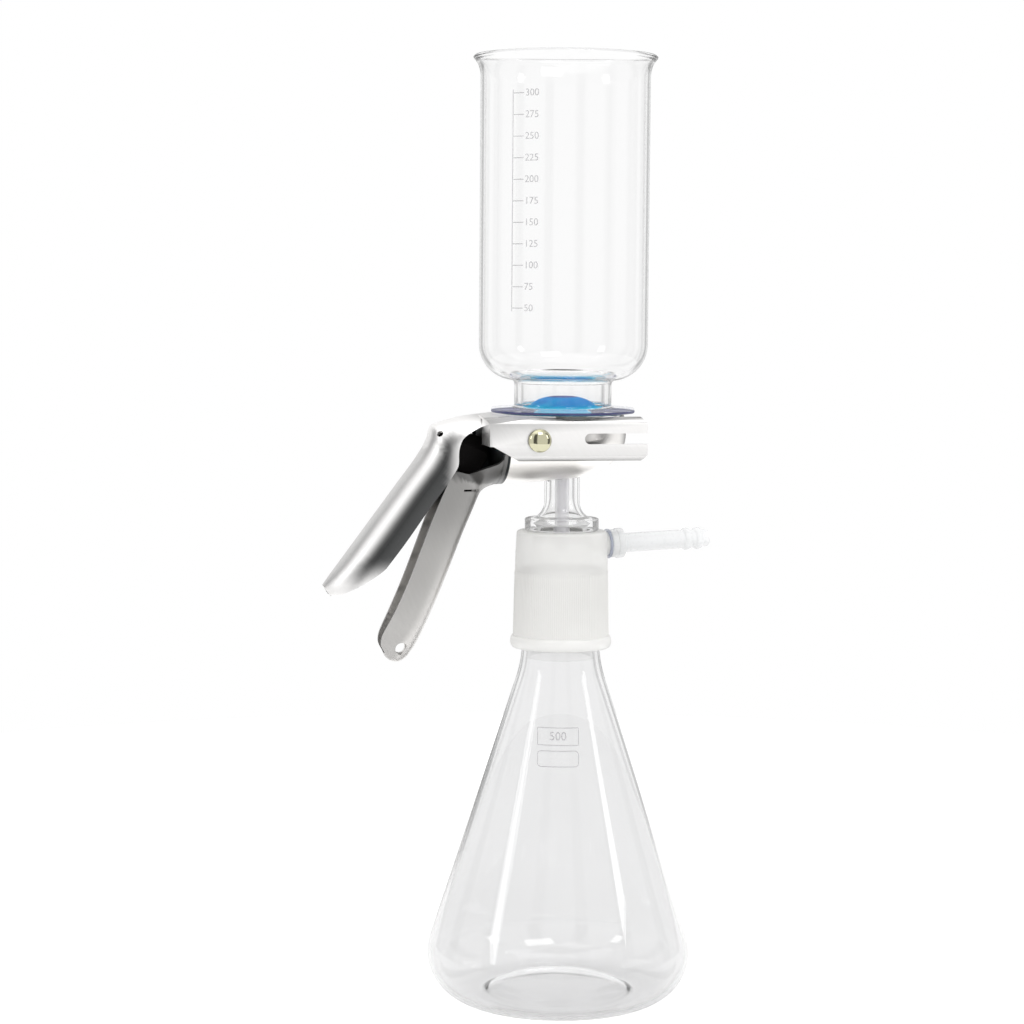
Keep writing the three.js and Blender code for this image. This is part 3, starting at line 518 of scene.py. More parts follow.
finish = {
    "clearGlass": clearGlass("clearGlass", (0.985, 0.985, 0.985), 0.012),
    "flaskGlass": clearGlass("flaskGlass", (0.965, 0.965, 0.967), 0.02),
    "rimGlass": rimGlass("rimGlass"),
    "frostedCap": milky("frostedCap", (0.93, 0.925, 0.905), (0.22, 0.34), 0.5),
    "capInside": milky("capInside", (0.95, 0.945, 0.93), 0.82, 0.5),
    "palePlastic": milky("palePlastic", (0.95, 0.955, 0.96), 0.5, 0.3, bump=0.04),
    "paleTube": milky("paleTube", (0.96, 0.95, 0.98), 0.6, 0.3, bump=0.03),
    "sintered": milky("sintered", (0.90, 0.90, 0.88), 0.0, 0.9, grain=2500.0, bump=0.6, mottle=0.05),
    "sealRubber": milky("sealRubber", (0.44, 0.48, 0.60), 0.6, 0.6, grain=1500.0, bump=0.2, mottle=0.02),
    "clearRubber": milky("clearRubber", (0.92, 0.92, 0.90), 0.6, 0.5),
    "printInk": milky("printInk", (0.50, 0.495, 0.51), 0.5, 0.45, grain=2500.0, bump=0.1, mottle=0.06),
    "flangeTop": milky("flangeTop", (0.90, 0.91, 0.97), 0.75, 0.3, bump=0.04),
    "upperSatin": satinMetal("upperSatin", (0.95, 0.94, 0.93), 0.38, 53),
    "lowerSatin": satinMetal("lowerSatin", (0.92, 0.90, 0.875), 0.34, 68),
    "rivetMetal": satinMetal("rivetMetal", (0.58, 0.56, 0.40), 0.12, bump=0.02, smudge=0.03),
    # the spring is near black: painted shade of the hollow between the handles, where it sits
    "springSteel": satinMetal("springSteel", (0.012, 0.011, 0.011), 0.55),
}
print("materials ready")


flaskSize = {
    "radius": 53.3, "heelRadius": 19.0, "footWidth": 3.0, "pushUp": 6.5, "coneAngle": 17.95,
    "wall": 2.0, "floor": 2.4, "neckRadius": 15.5, "neckTopRadius": 16.9, "neckWall": 1.7, "height": 175.4,
}


def coneRadius(s, z):
    heelX = s["radius"] - s["heelRadius"]
    angle = rad(s["coneAngle"])
    return heelX + s["heelRadius"] / math.cos(angle) - (z - s["heelRadius"]) * math.tan(angle)


def flaskOutline(s):
    heel = s["heelRadius"]
    heelX = s["radius"] - heel
    slope = math.tan(rad(s["coneAngle"]))
    coneTop = heel + (coneRadius(s, heel) - s["neckRadius"]) / slope
    neckIn = s["neckRadius"] - s["neckWall"]
    innerTop = coneTop - (s["wall"] / math.cos(rad(s["coneAngle"])) - s["neckWall"]) / slope
    foot = heelX - s["footWidth"]
    top, h, under, floor = s["neckTopRadius"], s["height"], s["pushUp"], s["pushUp"] + s["floor"]
    path = bends((0, under), ((foot * 0.7, under), (foot - 2.5, 0.9), 16),
                 ((foot - 1, 0.06), (foot + 0.4, 0.0), 4))
    path += arc(heelX, heel, heel, heel, -90, s["coneAngle"], 32)
    path += bend((coneRadius(s, coneTop - 7), coneTop - 7), (s["neckRadius"], coneTop + 0.2),
                 (s["neckRadius"] + 0.1, coneTop + 8), 12)
    path += bend((top, h - 1.2), (top, h), (top - 1.0, h), 4)
    path += [(top - s["neckWall"] - 0.4, h), (top - s["neckWall"] - 0.7, h - 0.5)]
    path += bend((neckIn + 0.1, coneTop + 7), (neckIn, innerTop + 0.2),
                 (coneRadius(s, innerTop - 7) - 2.1, innerTop - 7), 12)
    path += arc(heelX, heel, heel - s["wall"], heel - s["wall"], s["coneAngle"], -90, 28)
    path += bends((foot, 2.3), ((foot - 1.5, 2.4), (foot - 3, 3.4), 4), ((foot * 0.7, floor), (0, floor), 16))
    return path


def makeFlask():
    glassware("flaskGlass", flaskOutline(flaskSize), 192, finish["flaskGlass"], "flask")
    print("flask ready")


baseSize = {
    "flangeRadius": 26.5, "flangeHeight": 2.5, "spigotRadius": 24.6, "spigotHeight": 1.85, "seat": 237.75,
    "headRadius": 22.9, "headDepth": 13.0, "stemRadius": 7.1, "stemWall": 1.9, "flareRadius": 7.0,
    "ringRadius": 14.85, "capTop": 190.8, "ringTop": 195.8, "plugRadius": 11.5, "plugFoot": 186.2,
    "throatRadius": 3.2, "fritRadius": 17.0, "fritThickness": 3.0,
}


def baseOutline(s):
    spigotFoot = s["seat"] - s["spigotHeight"]
    flangeFoot = spigotFoot - s["flangeHeight"]
    headFoot = flangeFoot - s["headDepth"]
    stem, stemIn = s["stemRadius"], s["stemRadius"] - s["stemWall"]
    recess, recessFloor = s["fritRadius"] + 0.3, s["seat"] - s["fritThickness"] - 0.3
    plugIn, plug, foot = s["plugRadius"] - 1.4, s["plugRadius"], s["plugFoot"]
    ring, ringTop, capTop = s["ringRadius"], s["ringTop"], s["capTop"] + 0.3
    flareX, flareZ = stem + s["flareRadius"], ringTop - 0.4 + s["flareRadius"]
    web = headFoot - 4.5
    flange, spigot, seat, head = s["flangeRadius"], s["spigotRadius"], s["seat"], s["headRadius"]
    path = [(plugIn, foot + 0.3), (plugIn + 0.3, foot), (plug - 0.4, foot), (plug, foot + 0.4)]
    path += [(plug, capTop), (ring - 0.3, capTop), (ring, capTop + 0.3), (ring, ringTop - 0.6)]
    path += bend((ring, ringTop - 0.6), (ring, ringTop), (ring - 0.6, ringTop), 4)
    path += arc(flareX, flareZ, s["flareRadius"], s["flareRadius"], -86, -180, 18)
    path += bends((stem, headFoot - 4), ((stem, headFoot + 0.6), (stem + 4.4, headFoot + 1.2), 10),
                  ((head, headFoot + 3), (head, flangeFoot - 1.5), 14))
    path += [(head, flangeFoot), (flange - 0.4, flangeFoot)]
    path += [(flange, flangeFoot + 0.4), (flange, spigotFoot - 0.9)]
    path += bend((flange, spigotFoot - 0.9), (flange, spigotFoot), (flange - 0.9, spigotFoot), 4)
    path += [(spigot, spigotFoot), (spigot, seat - 0.15), (spigot - 0.15, seat), (recess, seat)]
    path += [(recess, recessFloor)]
    throat = s["throatRadius"]
    path += bends((recess - 1.8, recessFloor), ((recess - 2, headFoot + 6.5), (throat + 4, headFoot + 4), 10),
                  ((throat, headFoot + 3), (throat, headFoot), 6))
    path += bend((throat, web + 0.3), (throat + 0.1, web), (throat + 0.7, web - 0.2), 3)
    path += bend((stemIn - 0.8, web - 0.5), (stemIn, web - 0.6), (stemIn, web - 1.6), 4)
    path += bends((stemIn, flareZ + 2), ((stemIn + 0.4, ringTop + 0.6), (plugIn + 1.4, ringTop - 2.2), 14),
                  ((plugIn, ringTop - 3), (plugIn, ringTop - 4.4), 5))
    return path


tubeSize = {"radius": 2.85, "bore": 1.9, "tipRadius": 3.55, "tipLength": 8.5, "low": 182.4, "top": 221.9}


def tubeOutline(s):
    low, top, r, tip, bore = s["low"], s["top"], s["radius"], s["tipRadius"], s["bore"]
    swell = low + s["tipLength"]
    path = [(bore, low + 0.2)] + bend((bore + 0.2, low), (tip, low + 0.3), (tip, low + 3.2), 8)
    path += bend((tip, swell - 2), (tip, swell - 0.2), (r, swell + 1.4), 8)
    path += [(r, low + 22), (r, top - 0.2), (r - 0.2, top), (bore, top), (bore, low + 22)]
    return path


def makeBase():
    s = baseSize
    base = glassware("baseGlass", baseOutline(s), 144, finish["clearGlass"], "filter_base")
    paintFaces(base, finish["rimGlass"], lambda out, z: z < s["ringTop"] + 0.1)
    r, top, low = s["fritRadius"], s["seat"], s["seat"] - s["fritThickness"]
    outline = [(0, low), (r - 0.3, low), (r, low + 0.3), (r, top - 0.2), (r - 0.2, top), (0, top)]
    glassware("fritDisc", outline, 96, finish["sintered"], "frit_disc")
    glassware("dripTube", tubeOutline(tubeSize), 64, finish["paleTube"], "drip_tube")
    print("base ready")


filterSize = {
    "low": 237.85, "rim": 23.5, "thickness": 0.25, "domeRadius": 15.6, "domeHeight": 6.4, "flatRadius": 4.6,
}
filterLook = {
    "sheet": (0.0, 0.44, 0.66), "dome": (0.0, 0.20, 0.55), "flat": (0.05, 0.07, 0.22), "roughness": 0.5,
    "specular": 0.05, "cloudScale": 130.0, "cloud": 0.25, "grain": 1800.0, "bump": 0.15, "grainDepth": 0.0002,
}


# deepens from the sheet up the dome, with a darker flat on top
def blueFilter(s, look):
    material, tree, shader = principled("blueFilter", look["dome"], look["roughness"])
    top = s["low"] + s["domeHeight"]
    cloud = spread(tree, noiseOf(tree, look["cloudScale"]), -look["cloud"], look["cloud"])
    rise = calc(tree, "ADD", heightOf(tree, s["low"] + 0.3, s["low"] + s["domeHeight"] * 0.7), cloud)
    body = mixColour(tree, rise, look["sheet"], look["dome"])
    colour = mixColour(tree, heightOf(tree, top - 0.1, top + 0.1), body, look["flat"])
    fill(tree, shader, {"Specular IOR Level": look["specular"], "Base Color": colour})
    bumpOf(tree, noiseOf(tree, look["grain"]), look["bump"], look["grainDepth"], shader)
    return material


def makeFilter():
    s = filterSize
    low, high = s["low"], s["low"] + s["thickness"]
    top, flat, dome = high + s["domeHeight"], s["flatRadius"], s["domeRadius"]
    outline = [(0, low), (s["rim"] - 0.05, low), (s["rim"], low + 0.1), (s["rim"] - 0.05, high)]
    outline += bends((dome + 1.2, high), ((dome + 0.2, high), (dome - 0.6, high + 0.5), 5),
                     ((dome * 0.74, high + s["domeHeight"] * 0.86), (flat + 0.4, top - 0.1), 18))
    outline += [(flat, top - 0.02), (0, top)]
    glassware("filterDisc", outline, 128, blueFilter(s, filterLook), "filter_disc", 50)
    print("filter ready")


funnelSize = {
    "foot": 238.2, "flangeRadius": 28.7, "flangeThickness": 2.0, "boreRadius": 17.0, "neckRadius": 19.4,
    "neckLength": 12.9, "radius": 33.7, "shoulderRadius": 14.3, "wall": 1.8, "height": 141.2,
    "rimRadius": 36.6, "rimHeight": 9.0, "beadRadius": 1.1,
}


def funnelOutline(s):
    foot, wall, neck, bore, bead = s["foot"], s["wall"], s["neckRadius"], s["boreRadius"], s["beadRadius"]
    flangeTop, floor, top = foot + s["flangeThickness"], foot + s["neckLength"], foot + s["height"]
    flareFoot, inner, rim, edge = top - s["rimHeight"], s["radius"] - wall, s["rimRadius"], s["flangeRadius"]
    sx, sr = s["radius"] - s["shoulderRadius"], s["shoulderRadius"]
    path = [(bore + 0.3, foot), (edge - 0.35, foot), (edge, foot + 0.35), (edge, foot + 1.0),
            (edge, flangeTop - 0.35), (edge - 0.35, flangeTop)]
    path += bend((neck + 1.6, flangeTop), (neck, flangeTop), (neck, flangeTop + 1.6), 6)
    path += bend((neck, floor - 1.8), (neck, floor - 0.1), (sx + 1.7, floor + 0.1), 6)
    path += arc(sx, floor + sr, sr, sr, -80, 0, 24)
    path += bend((s["radius"], flareFoot), (s["radius"], top - 4), (rim - 0.25, top - bead - 0.3), 12)
    path += arc(rim - bead, top - bead, bead, bead, 10, 180, 10)
    path += bend((rim - 2 * bead, top - bead - 0.4), (inner, top - 5), (inner, flareFoot), 12)
    path += arc(sx, floor + sr, sr - wall, sr - wall, 0, -84, 22)
    path += bend((bore + 2.4, floor + wall), (bore, floor + wall), (bore, floor - 0.8), 6)
    path += [(bore, foot + 0.3), (bore + 0.3, foot)]
    return path


flangeLook = {
    "colour": (0.035, 0.04, 0.14), "roughness": (0.24, 0.36), "grain": 1600.0, "clear": (0.80, 0.80, 0.93),
    "bump": 0.15, "grainDepth": 0.0002, "through": 0.05,
    "tintedHeight": 1.2,       # mm up from the ground face
}


# the flange's lower half is tinted by the filter that it is ground against
def flangeGlass(look):
    material, tree, shader = principled("groundFlange", look["colour"], 0.35)
    fine = noiseOf(tree, look["grain"])
    fill(tree, shader, {"Roughness": spread(tree, fine, *look["roughness"])})
    bumpOf(tree, fine, look["bump"], look["grainDepth"], shader)
    setSurface(tree, mixShaders(tree, look["through"], shader.outputs[0], clearOf(tree, look["clear"])))
    return material


def makeFunnel():
    s = funnelSize
    foot, edge, neck = s["foot"], s["flangeRadius"] - 0.5, s["neckRadius"] + 0.8
    tinted, top = foot + flangeLook["tintedHeight"], foot + s["flangeThickness"] + 0.1
    funnel = glassware("funnelGlass", funnelOutline(s), 192, finish["clearGlass"], "funnel")
    paintFaces(funnel, flangeGlass(flangeLook), lambda out, z: out > edge and z < tinted)
    paintFaces(funnel, finish["flangeTop"], lambda out, z: out > neck and foot + 0.2 < z < top)
    print("funnel ready")


capSize = {
    "flaskTop": 175.4, "neckTopRadius": 16.9, "capTop": 190.8, "topRadius": 18.1, "edgeRadius": 1.1,
    "skirtRadius": 19.2, "skirtWall": 1.4, "skirtLength": 31.6, "beadRadius": 20.4, "beadHeight": 4.9,
    "boreRadius": 12.0, "plugRadius": 14.2, "plugFoot": 13.6, "plugLength": 36.0,
    "sealRadius": 13.6, "sealHeight": 1.2, "sealInner": 11.8, "sealLow": 189.65, "sealEase": 0.15,
    "bossRadius": 4.6, "bossEnd": 24.0, "portRadius": 2.4,
}
armSize = {
    "turn": 18.0, "tilt": 2.0, "z": 184.9 - 18.1 * math.sin(rad(2.0)), "sealStart": 19.2, "sealWidth": 1.0,
    "sealRadius": 6.0, "bossRadius": 4.6, "bossEnd": 24.0, "nutRadius": 6.05, "nutEnd": 25.9,
    "nutRimWidth": 3.0, "boreRadius": 2.4, "tubeRadius": 3.85, "barbRadius": 4.6, "end": 63.0, "wall": 1.3,
}
armLay = (Matrix.Translation((0, 0, armSize["z"])) @ Matrix.Rotation(rad(armSize["turn"]), 4, "Z")
          @ Matrix.Rotation(rad(90 - armSize["tilt"]), 4, "Y"))


def capOutline(s):
    rim, top = s["flaskTop"], s["capTop"]
    low = rim - s["skirtLength"]
    plugLow, roof = rim - s["plugLength"], rim + 0.3
    inside, skirt = s["skirtRadius"] - s["skirtWall"], s["skirtRadius"]
    half = s["beadHeight"] / 2
    step = top - s["sealHeight"] - 0.3
    plug, foot, bore, edge = s["plugRadius"], s["plugFoot"], s["boreRadius"], s["edgeRadius"]
    path = [(bore, plugLow + 0.3), (bore + 0.3, plugLow), (foot - 0.5, plugLow)]
    path += bend((foot - 0.5, plugLow), (foot, plugLow), (foot, plugLow + 0.7), 3)
    path += [(plug, roof), (s["neckTopRadius"] + 0.3, roof), (inside, low + s["beadHeight"])]
    path += bend((inside, low + 0.5), (inside, low), (inside + 0.5, low), 3)
    path += arc(skirt, low + half, s["beadRadius"] - skirt, half, -90, 90, 14)
    path += [(s["topRadius"] + 0.4, top - edge - 8)]
    path += arc(s["topRadius"] - edge, top - edge, edge, edge, 0, 90, 8)
    seat = s["sealRadius"] + 0.3
    path += [(seat + 0.2, top), (seat, top - 0.2), (seat, step), (bore, step)]
    return path


ribSize = {"count": 140, "width": 0.3, "low": 149.0, "high": 174.5, "lowRadius": 19.17, "highRadius": 18.68}


# a node tree with a count, some lengths and a material as its inputs
def geometryTree(name, lengths):
    tree = bpy.data.node_groups.new(name, "GeometryNodeTree")
    tree.interface.new_socket("Geometry", in_out="OUTPUT", socket_type="NodeSocketGeometry")
    kinds = [("Geometry", "Geometry"), ("Count", "Int")] + [(label, "Float") for label in lengths]
    for label, kind in kinds + [("Finish", "Material")]:
        tree.interface.new_socket(label, in_out="INPUT", socket_type="NodeSocket" + kind)
    return tree, tree.nodes.new("NodeGroupInput").outputs


# ends a tree: its geometry with the material of its input
def endTree(tree, geometry, put):
    paint = addNode(tree, "GeometryNodeSetMaterial", {"Geometry": geometry, "Material": put["Finish"]})
    addNode(tree, "NodeGroupOutput", {0: paint.outputs[0]})
    return tree


# a plain mesh from a tree and the values of its named inputs
def grown(name, tree, values):
    holder = bpy.data.objects.new(name, bpy.data.meshes.new(name))
    bpy.context.scene.collection.objects.link(holder)
    step = holder.modifiers.new("grow", "NODES")
    step.node_group = tree
    for item in tree.interface.items_tree:
        if item.in_out == "INPUT" and item.name in values:
            step[item.identifier] = values[item.name]
    return applyModifiers(holder)


def joinXyz(tree, x, y, z):
    return addNode(tree, "ShaderNodeCombineXYZ", {0: x, 1: y, 2: z}).outputs[0]


def stoodOn(tree, points, shape):
    values = {"Points": points.outputs[0], "Instance": shape.outputs[0]}
    return addNode(tree, "GeometryNodeInstanceOnPoints", values).outputs[0]


# slim round ribs up the cap's tapered skirt
def ribTree():
    tree, put = geometryTree("capRibs", ["Width", "Low", "High", "Low Radius", "High Radius"])
    circle = addNode(tree, "GeometryNodeMeshCircle", {"Vertices": put["Count"], "Radius": put["Low Radius"]})
    half = calc(tree, "MULTIPLY", put["Width"], 0.5)
    length = calc(tree, "SUBTRACT", put["High"], put["Low"])
    slim = calc(tree, "MULTIPLY", half, 0.8)
    values = {"Vertices": 8, "Radius Top": slim, "Radius Bottom": half, "Depth": length}
    rib = addNode(tree, "GeometryNodeMeshCone", values)
    real = addNode(tree, "GeometryNodeRealizeInstances", {0: stoodOn(tree, circle, rib)})
    place = addNode(tree, "GeometryNodeInputPosition").outputs[0]
    split = addNode(tree, "ShaderNodeSeparateXYZ", {0: place}).outputs
    up = calc(tree, "DIVIDE", split["Z"], length)
    change = calc(tree, "SUBTRACT", calc(tree, "DIVIDE", put["High Radius"], put["Low Radius"]), 1.0)
    size = calc(tree, "ADD", calc(tree, "MULTIPLY", up, change), 1.0)
    spot = joinXyz(tree, calc(tree, "MULTIPLY", split["X"], size), calc(tree, "MULTIPLY", split["Y"], size),
                   calc(tree, "ADD", split["Z"], put["Low"]))
    lean = addNode(tree, "GeometryNodeSetPosition", {"Geometry": real.outputs[0], "Position": spot})
    return endTree(tree, lean.outputs[0], put)


def makeCap():
    s, r = capSize, ribSize
    cap = turned("jointCap", capOutline(s), 144)
    boss = moved(rod("boss", s["bossRadius"], s["boreRadius"] + 1.5, s["bossEnd"]), armLay)
    port = moved(rod("port", s["portRadius"], s["boreRadius"] - 3, s["bossEnd"] + 1, 32), armLay)
    combine(cap, "UNION", boss)
    combine(cap, "DIFFERENCE", port)
    setPlace(cap, glassPlace, 40)
    give(cap, finish["frostedCap"], replaces=["joint_cap"])
    inside, step = s["skirtRadius"] - s["skirtWall"] + 0.2, s["capTop"] - s["sealHeight"]
    paintFaces(cap, finish["capInside"], lambda out, z: out < inside and z < step)
    ribs = grown("capRibs", ribTree(), {
        "Count": r["count"], "Width": r["width"], "Low": r["low"], "High": r["high"],
        "Low Radius": r["lowRadius"], "High Radius": r["highRadius"], "Finish": finish["frostedCap"]})
    give(setPlace(ribs, glassPlace, 60), finish["frostedCap"])
    inner, outer, low, high, ease = s["sealInner"], s["sealRadius"], s["sealLow"], s["capTop"], s["sealEase"]
    seal = [(inner + 0.05, low), (outer - 0.05, low), (outer, low + ease), (outer, high - ease),
            (outer - ease, high), (inner + ease, high), (inner, high - ease), (inner, low + ease)]
    glassware("capSeal", seal, 96, finish["clearRubber"], "cap_seal")
    print("cap ready")


# a piece of the side arm, turned about Z and then laid along the arm
def placeOnArm(piece, material, node):
    give(setPlace(moved(piece, armLay), glassPlace), finish[material], replaces=[node])


def makeArm():
    s = armSize
    start, width, rim = s["sealStart"], s["sealWidth"], s["sealRadius"]
    inner, seat, stop = s["bossRadius"] + 0.3, s["bossEnd"] + 1.4, start + width
    outline = [(inner, start + 0.1), (inner + 0.1, start)]
    outline += bend((rim - 0.3, start), (rim, start), (rim, start + 0.3), 4)
    outline += bend((rim, stop - 0.3), (rim, stop), (rim - 0.3, stop), 4) + [(inner, stop)]
    placeOnArm(turned("portSeal", outline, 64), "sealRubber", "port_seal")
    low, end, out = stop + 0.3, s["nutEnd"], s["nutRadius"]
    slim, ridge, hole = out - 0.35, end - s["nutRimWidth"], s["tubeRadius"] + 0.3
    outline = [(inner, low), (slim - 0.25, low), (slim, low + 0.25), (slim, ridge)]
    outline += bend((slim, ridge), (out, ridge), (out, ridge + 0.5), 4)
    outline += bend((out, end - 0.6), (out, end), (out - 0.6, end), 5)
    outline += [(hole + 0.2, end), (hole, end - 0.2), (hole, seat), (inner, seat)]
    placeOnArm(turned("portNut", outline, 72), "palePlastic", "port_nut")
    start, end, bore, boss = s["bossEnd"] + 0.3, s["end"], s["boreRadius"], s["bossRadius"]
    tube, barb = s["tubeRadius"], s["barbRadius"]
    outline = [(bore, start), (boss, start), (boss, start + 0.8), (tube + 0.2, start + 0.8),
               (tube + 0.05, start + 1.1), (tube, end - 12.5)]
    for middle in (end - 9.5, end - 4.5):
        outline += bends((tube - 0.2, middle - 1.9),
                         ((tube - 0.1, middle - 1.3), (barb - 0.35, middle - 1.1), 4),
                         ((barb + 0.15, middle), (barb - 0.3, middle + 1), 8),
                         ((barb - 0.5, middle + 1.5), (tube - 0.2, middle + 1.9), 4))
    outline += bend((tube - 0.35, end - 0.5), (tube - 0.4, end), (tube - 0.9, end), 3)
    outline += [(tube - s["wall"], end), (tube - s["wall"], start + 3), (bore, start + 2)]
    placeOnArm(turned("hoseBarb", outline, 72), "palePlastic", "hose_barb")
    print("side arm ready")


# the funnel's printed scale, in mm; x is measured round the glass
scaleSize = {
    "ink": 0.04, "lift": 0.03, "line": 0.36, "low": 279.9, "high": 362.6, "over": 1.3, "start": -21.9,
    "tick": 4.7, "first": 50, "step": 25, "count": 11, "figure": 3.9, "gap": 0.5,
}
# two plain frames on the flask
frameSize = {
    "line": 0.3, "halfWidth": 8.4, "across": -1.2, "number": "500", "figure": 4.6,
    "numbered": (107.7, 114.6, 0.5), "blank": (99.6, 105.8, 1.6),      # foot, top and corner radius
}


# short bars one above another beside a long one, flat in x and z
def tickTree():
    tree, put = geometryTree("scaleTicks", ["Low", "High", "Start", "Length", "Line", "Ink", "Over"])
    low, start, length, line, ink = (put[label] for label in ("Low", "Start", "Length", "Line", "Ink"))
    span = calc(tree, "SUBTRACT", put["High"], low)
    middle = calc(tree, "ADD", start, calc(tree, "MULTIPLY", length, 0.5))
    step = calc(tree, "DIVIDE", span, calc(tree, "SUBTRACT", put["Count"], 1.0))
    points = addNode(tree, "GeometryNodeMeshLine", {
        "Count": put["Count"], "Start Location": joinXyz(tree, middle, 0.0, low),
        "Offset": joinXyz(tree, 0.0, 0.0, step)})
    tick = addNode(tree, "GeometryNodeMeshCube", {"Vertices X": 6, "Size": joinXyz(tree, length, ink, line)})
    reach = calc(tree, "ADD", span, calc(tree, "MULTIPLY", put["Over"], 2.0))
    long = addNode(tree, "GeometryNodeMeshCube", {"Size": joinXyz(tree, line, ink, reach)})
    half = calc(tree, "ADD", low, calc(tree, "MULTIPLY", span, 0.5))
    beside = joinXyz(tree, calc(tree, "SUBTRACT", start, line), 0.0, half)
    lay = addNode(tree, "GeometryNodeTransform", {"Geometry": long.outputs[0], "Translation": beside})
    both = tree.nodes.new("GeometryNodeJoinGeometry")
    for part in (lay.outputs[0], stoodOn(tree, points, tick)):
        tree.links.new(part, both.inputs[0])
    real = addNode(tree, "GeometryNodeRealizeInstances", {0: both.outputs[0]})
    return endTree(tree, real.outputs[0], put)


# figures as a flat mesh in x and z, a little thick along y
def figures(text, size, x, z, ink, align="LEFT"):
    curve = bpy.data.curves.new("figures", "FONT")
    curve.body, curve.size, curve.extrude = text, size, ink / 2
    curve.align_x, curve.align_y, curve.resolution_u = align, "CENTER", 4
    holder = bpy.data.objects.new("figures", curve)
    bpy.context.scene.collection.objects.link(holder)
    mesh = bpy.data.meshes.new_from_object(holder.evaluated_get(bpy.context.evaluated_depsgraph_get()))
    bpy.data.objects.remove(holder, do_unlink=True)
    piece = bpy.data.objects.new("figures", mesh)
    bpy.context.scene.collection.objects.link(piece)
    return across(piece, x, z)


# prints a flat piece on the glass: x runs along the surface and y away from it
def printOn(piece, radiusOf, lift):
    for vertex in piece.data.vertices:
        x, y, z = vertex.co
        r = radiusOf(z)
        out = r + lift - y
        vertex.co = (out * math.sin(x / r), -out * math.cos(x / r), z)
    give(setPlace(piece, glassPlace, 30), finish["printInk"])


def joined(name, pieces):
    bm = bmesh.new()
    for piece in pieces:
        bm.from_mesh(piece.data)
        bpy.data.objects.remove(piece, do_unlink=True)
    return newPiece(bm, name)


# thin rounded frame, flat in x and z
def frameLine(s, low, high, corner, ink):
    bm = bmesh.new()
    loops = []
    for inset in (0.0, s["line"]):
        r, path = max(corner - inset, 0.05), []
        for side, top, start in ((1, high, 0), (-1, high, 90), (-1, low, 180), (1, low, 270)):
            dx = s["across"] + side * (s["halfWidth"] - inset - r)
            dz = top + (r + inset) * (1 if top == low else -1)
            path += arc(dx, dz, r, r, start, start + 90, 5)
        fine = []                              # long sides in short steps, so that they bend round the glass
        for a, b in zip(path, path[1:] + path[:1]):
            fine += [(a[0] + (b[0] - a[0]) * i / 6, a[1] + (b[1] - a[1]) * i / 6) for i in range(6)]
        loops.append([[bm.verts.new((px, y, pz)) for px, pz in fine] for y in (-ink / 2, ink / 2)])
    ring = [loops[0][0], loops[0][1], loops[1][1], loops[1][0]]
    for a, b in zip(ring, ring[1:] + ring[:1]):
        for i in range(len(a)):
            bm.faces.new([a[i - 1], a[i], b[i], b[i - 1]])
    return newPiece(bm, "frame")


def makePrints():
    s, f, ink, lift = scaleSize, frameSize, scaleSize["ink"], scaleSize["lift"]

    def onFunnel(z):
        return funnelSize["radius"]

    ticks = grown("funnelScale", tickTree(), {
        "Count": s["count"], "Low": s["low"], "High": s["high"], "Start": s["start"], "Length": s["tick"],
        "Line": s["line"], "Ink": ink, "Over": s["over"], "Finish": finish["printInk"]})
    printOn(ticks, onFunnel, lift)
    rise = (s["high"] - s["low"]) / (s["count"] - 1)
    side = s["start"] + s["tick"] + s["gap"]
    numbers = [figures(str(s["first"] + s["step"] * i), s["figure"], side, s["low"] + rise * i, ink)
               for i in range(s["count"])]
    printOn(joined("scaleNumbers", numbers), onFunnel, lift)
    parts = [frameLine(f, *lay, ink) for lay in (f["numbered"], f["blank"])]
    middle = (f["numbered"][0] + f["numbered"][1]) / 2
    parts.append(figures(f["number"], f["figure"], f["across"], middle, ink, "CENTER"))
    printOn(joined("flaskMarks", parts), lambda z: coneRadius(flaskSize, z), lift)
    print("prints ready")


# the clamp stands in its own frame: x towards the fork's tip, z up, in mm
clampSize = {
    "sheet": 1.5, "pivotX": -15.2, "pivotZ": 228.6, "hole": 2.3, "forkTop": 237.7, "forkFoot": 220.4,
    "jawRim": 233.1, "jawFoot": 211.2, "easedEdge": 0.22,
}
forkSize = {
    "halfWidth": 28.5, "back": -34.8, "tip": 28.1, "topFold": 3.2, "bottomFold": 2.7, "tipChamfer": 2.4,
    "heelRise": 5.8, "heelLength": 12.3, "slotHeight": 4.2, "slotStart": 2.9, "slotDrop": 8.5,
    "mouthRadius": 25.1, "reliefRadius": 28.1, "reliefStart": -8.3, "reliefDepth": 2.3, "neckHalfWidth": 12.5,
    "crownDrop": 2.4, "crownLength": 20.8,
    "foldShadeRow": 2.6,            # a row of points this far up the wall, where the lower fold's painted shade ends
}
jawSize = {
    "halfWidth": 25.5, "depth": 18.8, "fall": 0.055, "back": -28.0, "slotHalfWidth": 8.6, "earRadius": 5.5,
    "backDrop": 10.5,
    "seamShade": (-26.7, -26.5, -25.6, -25.4),      # painted shade along the crease between jaw and handle: where it begins, is whole, and ends
}

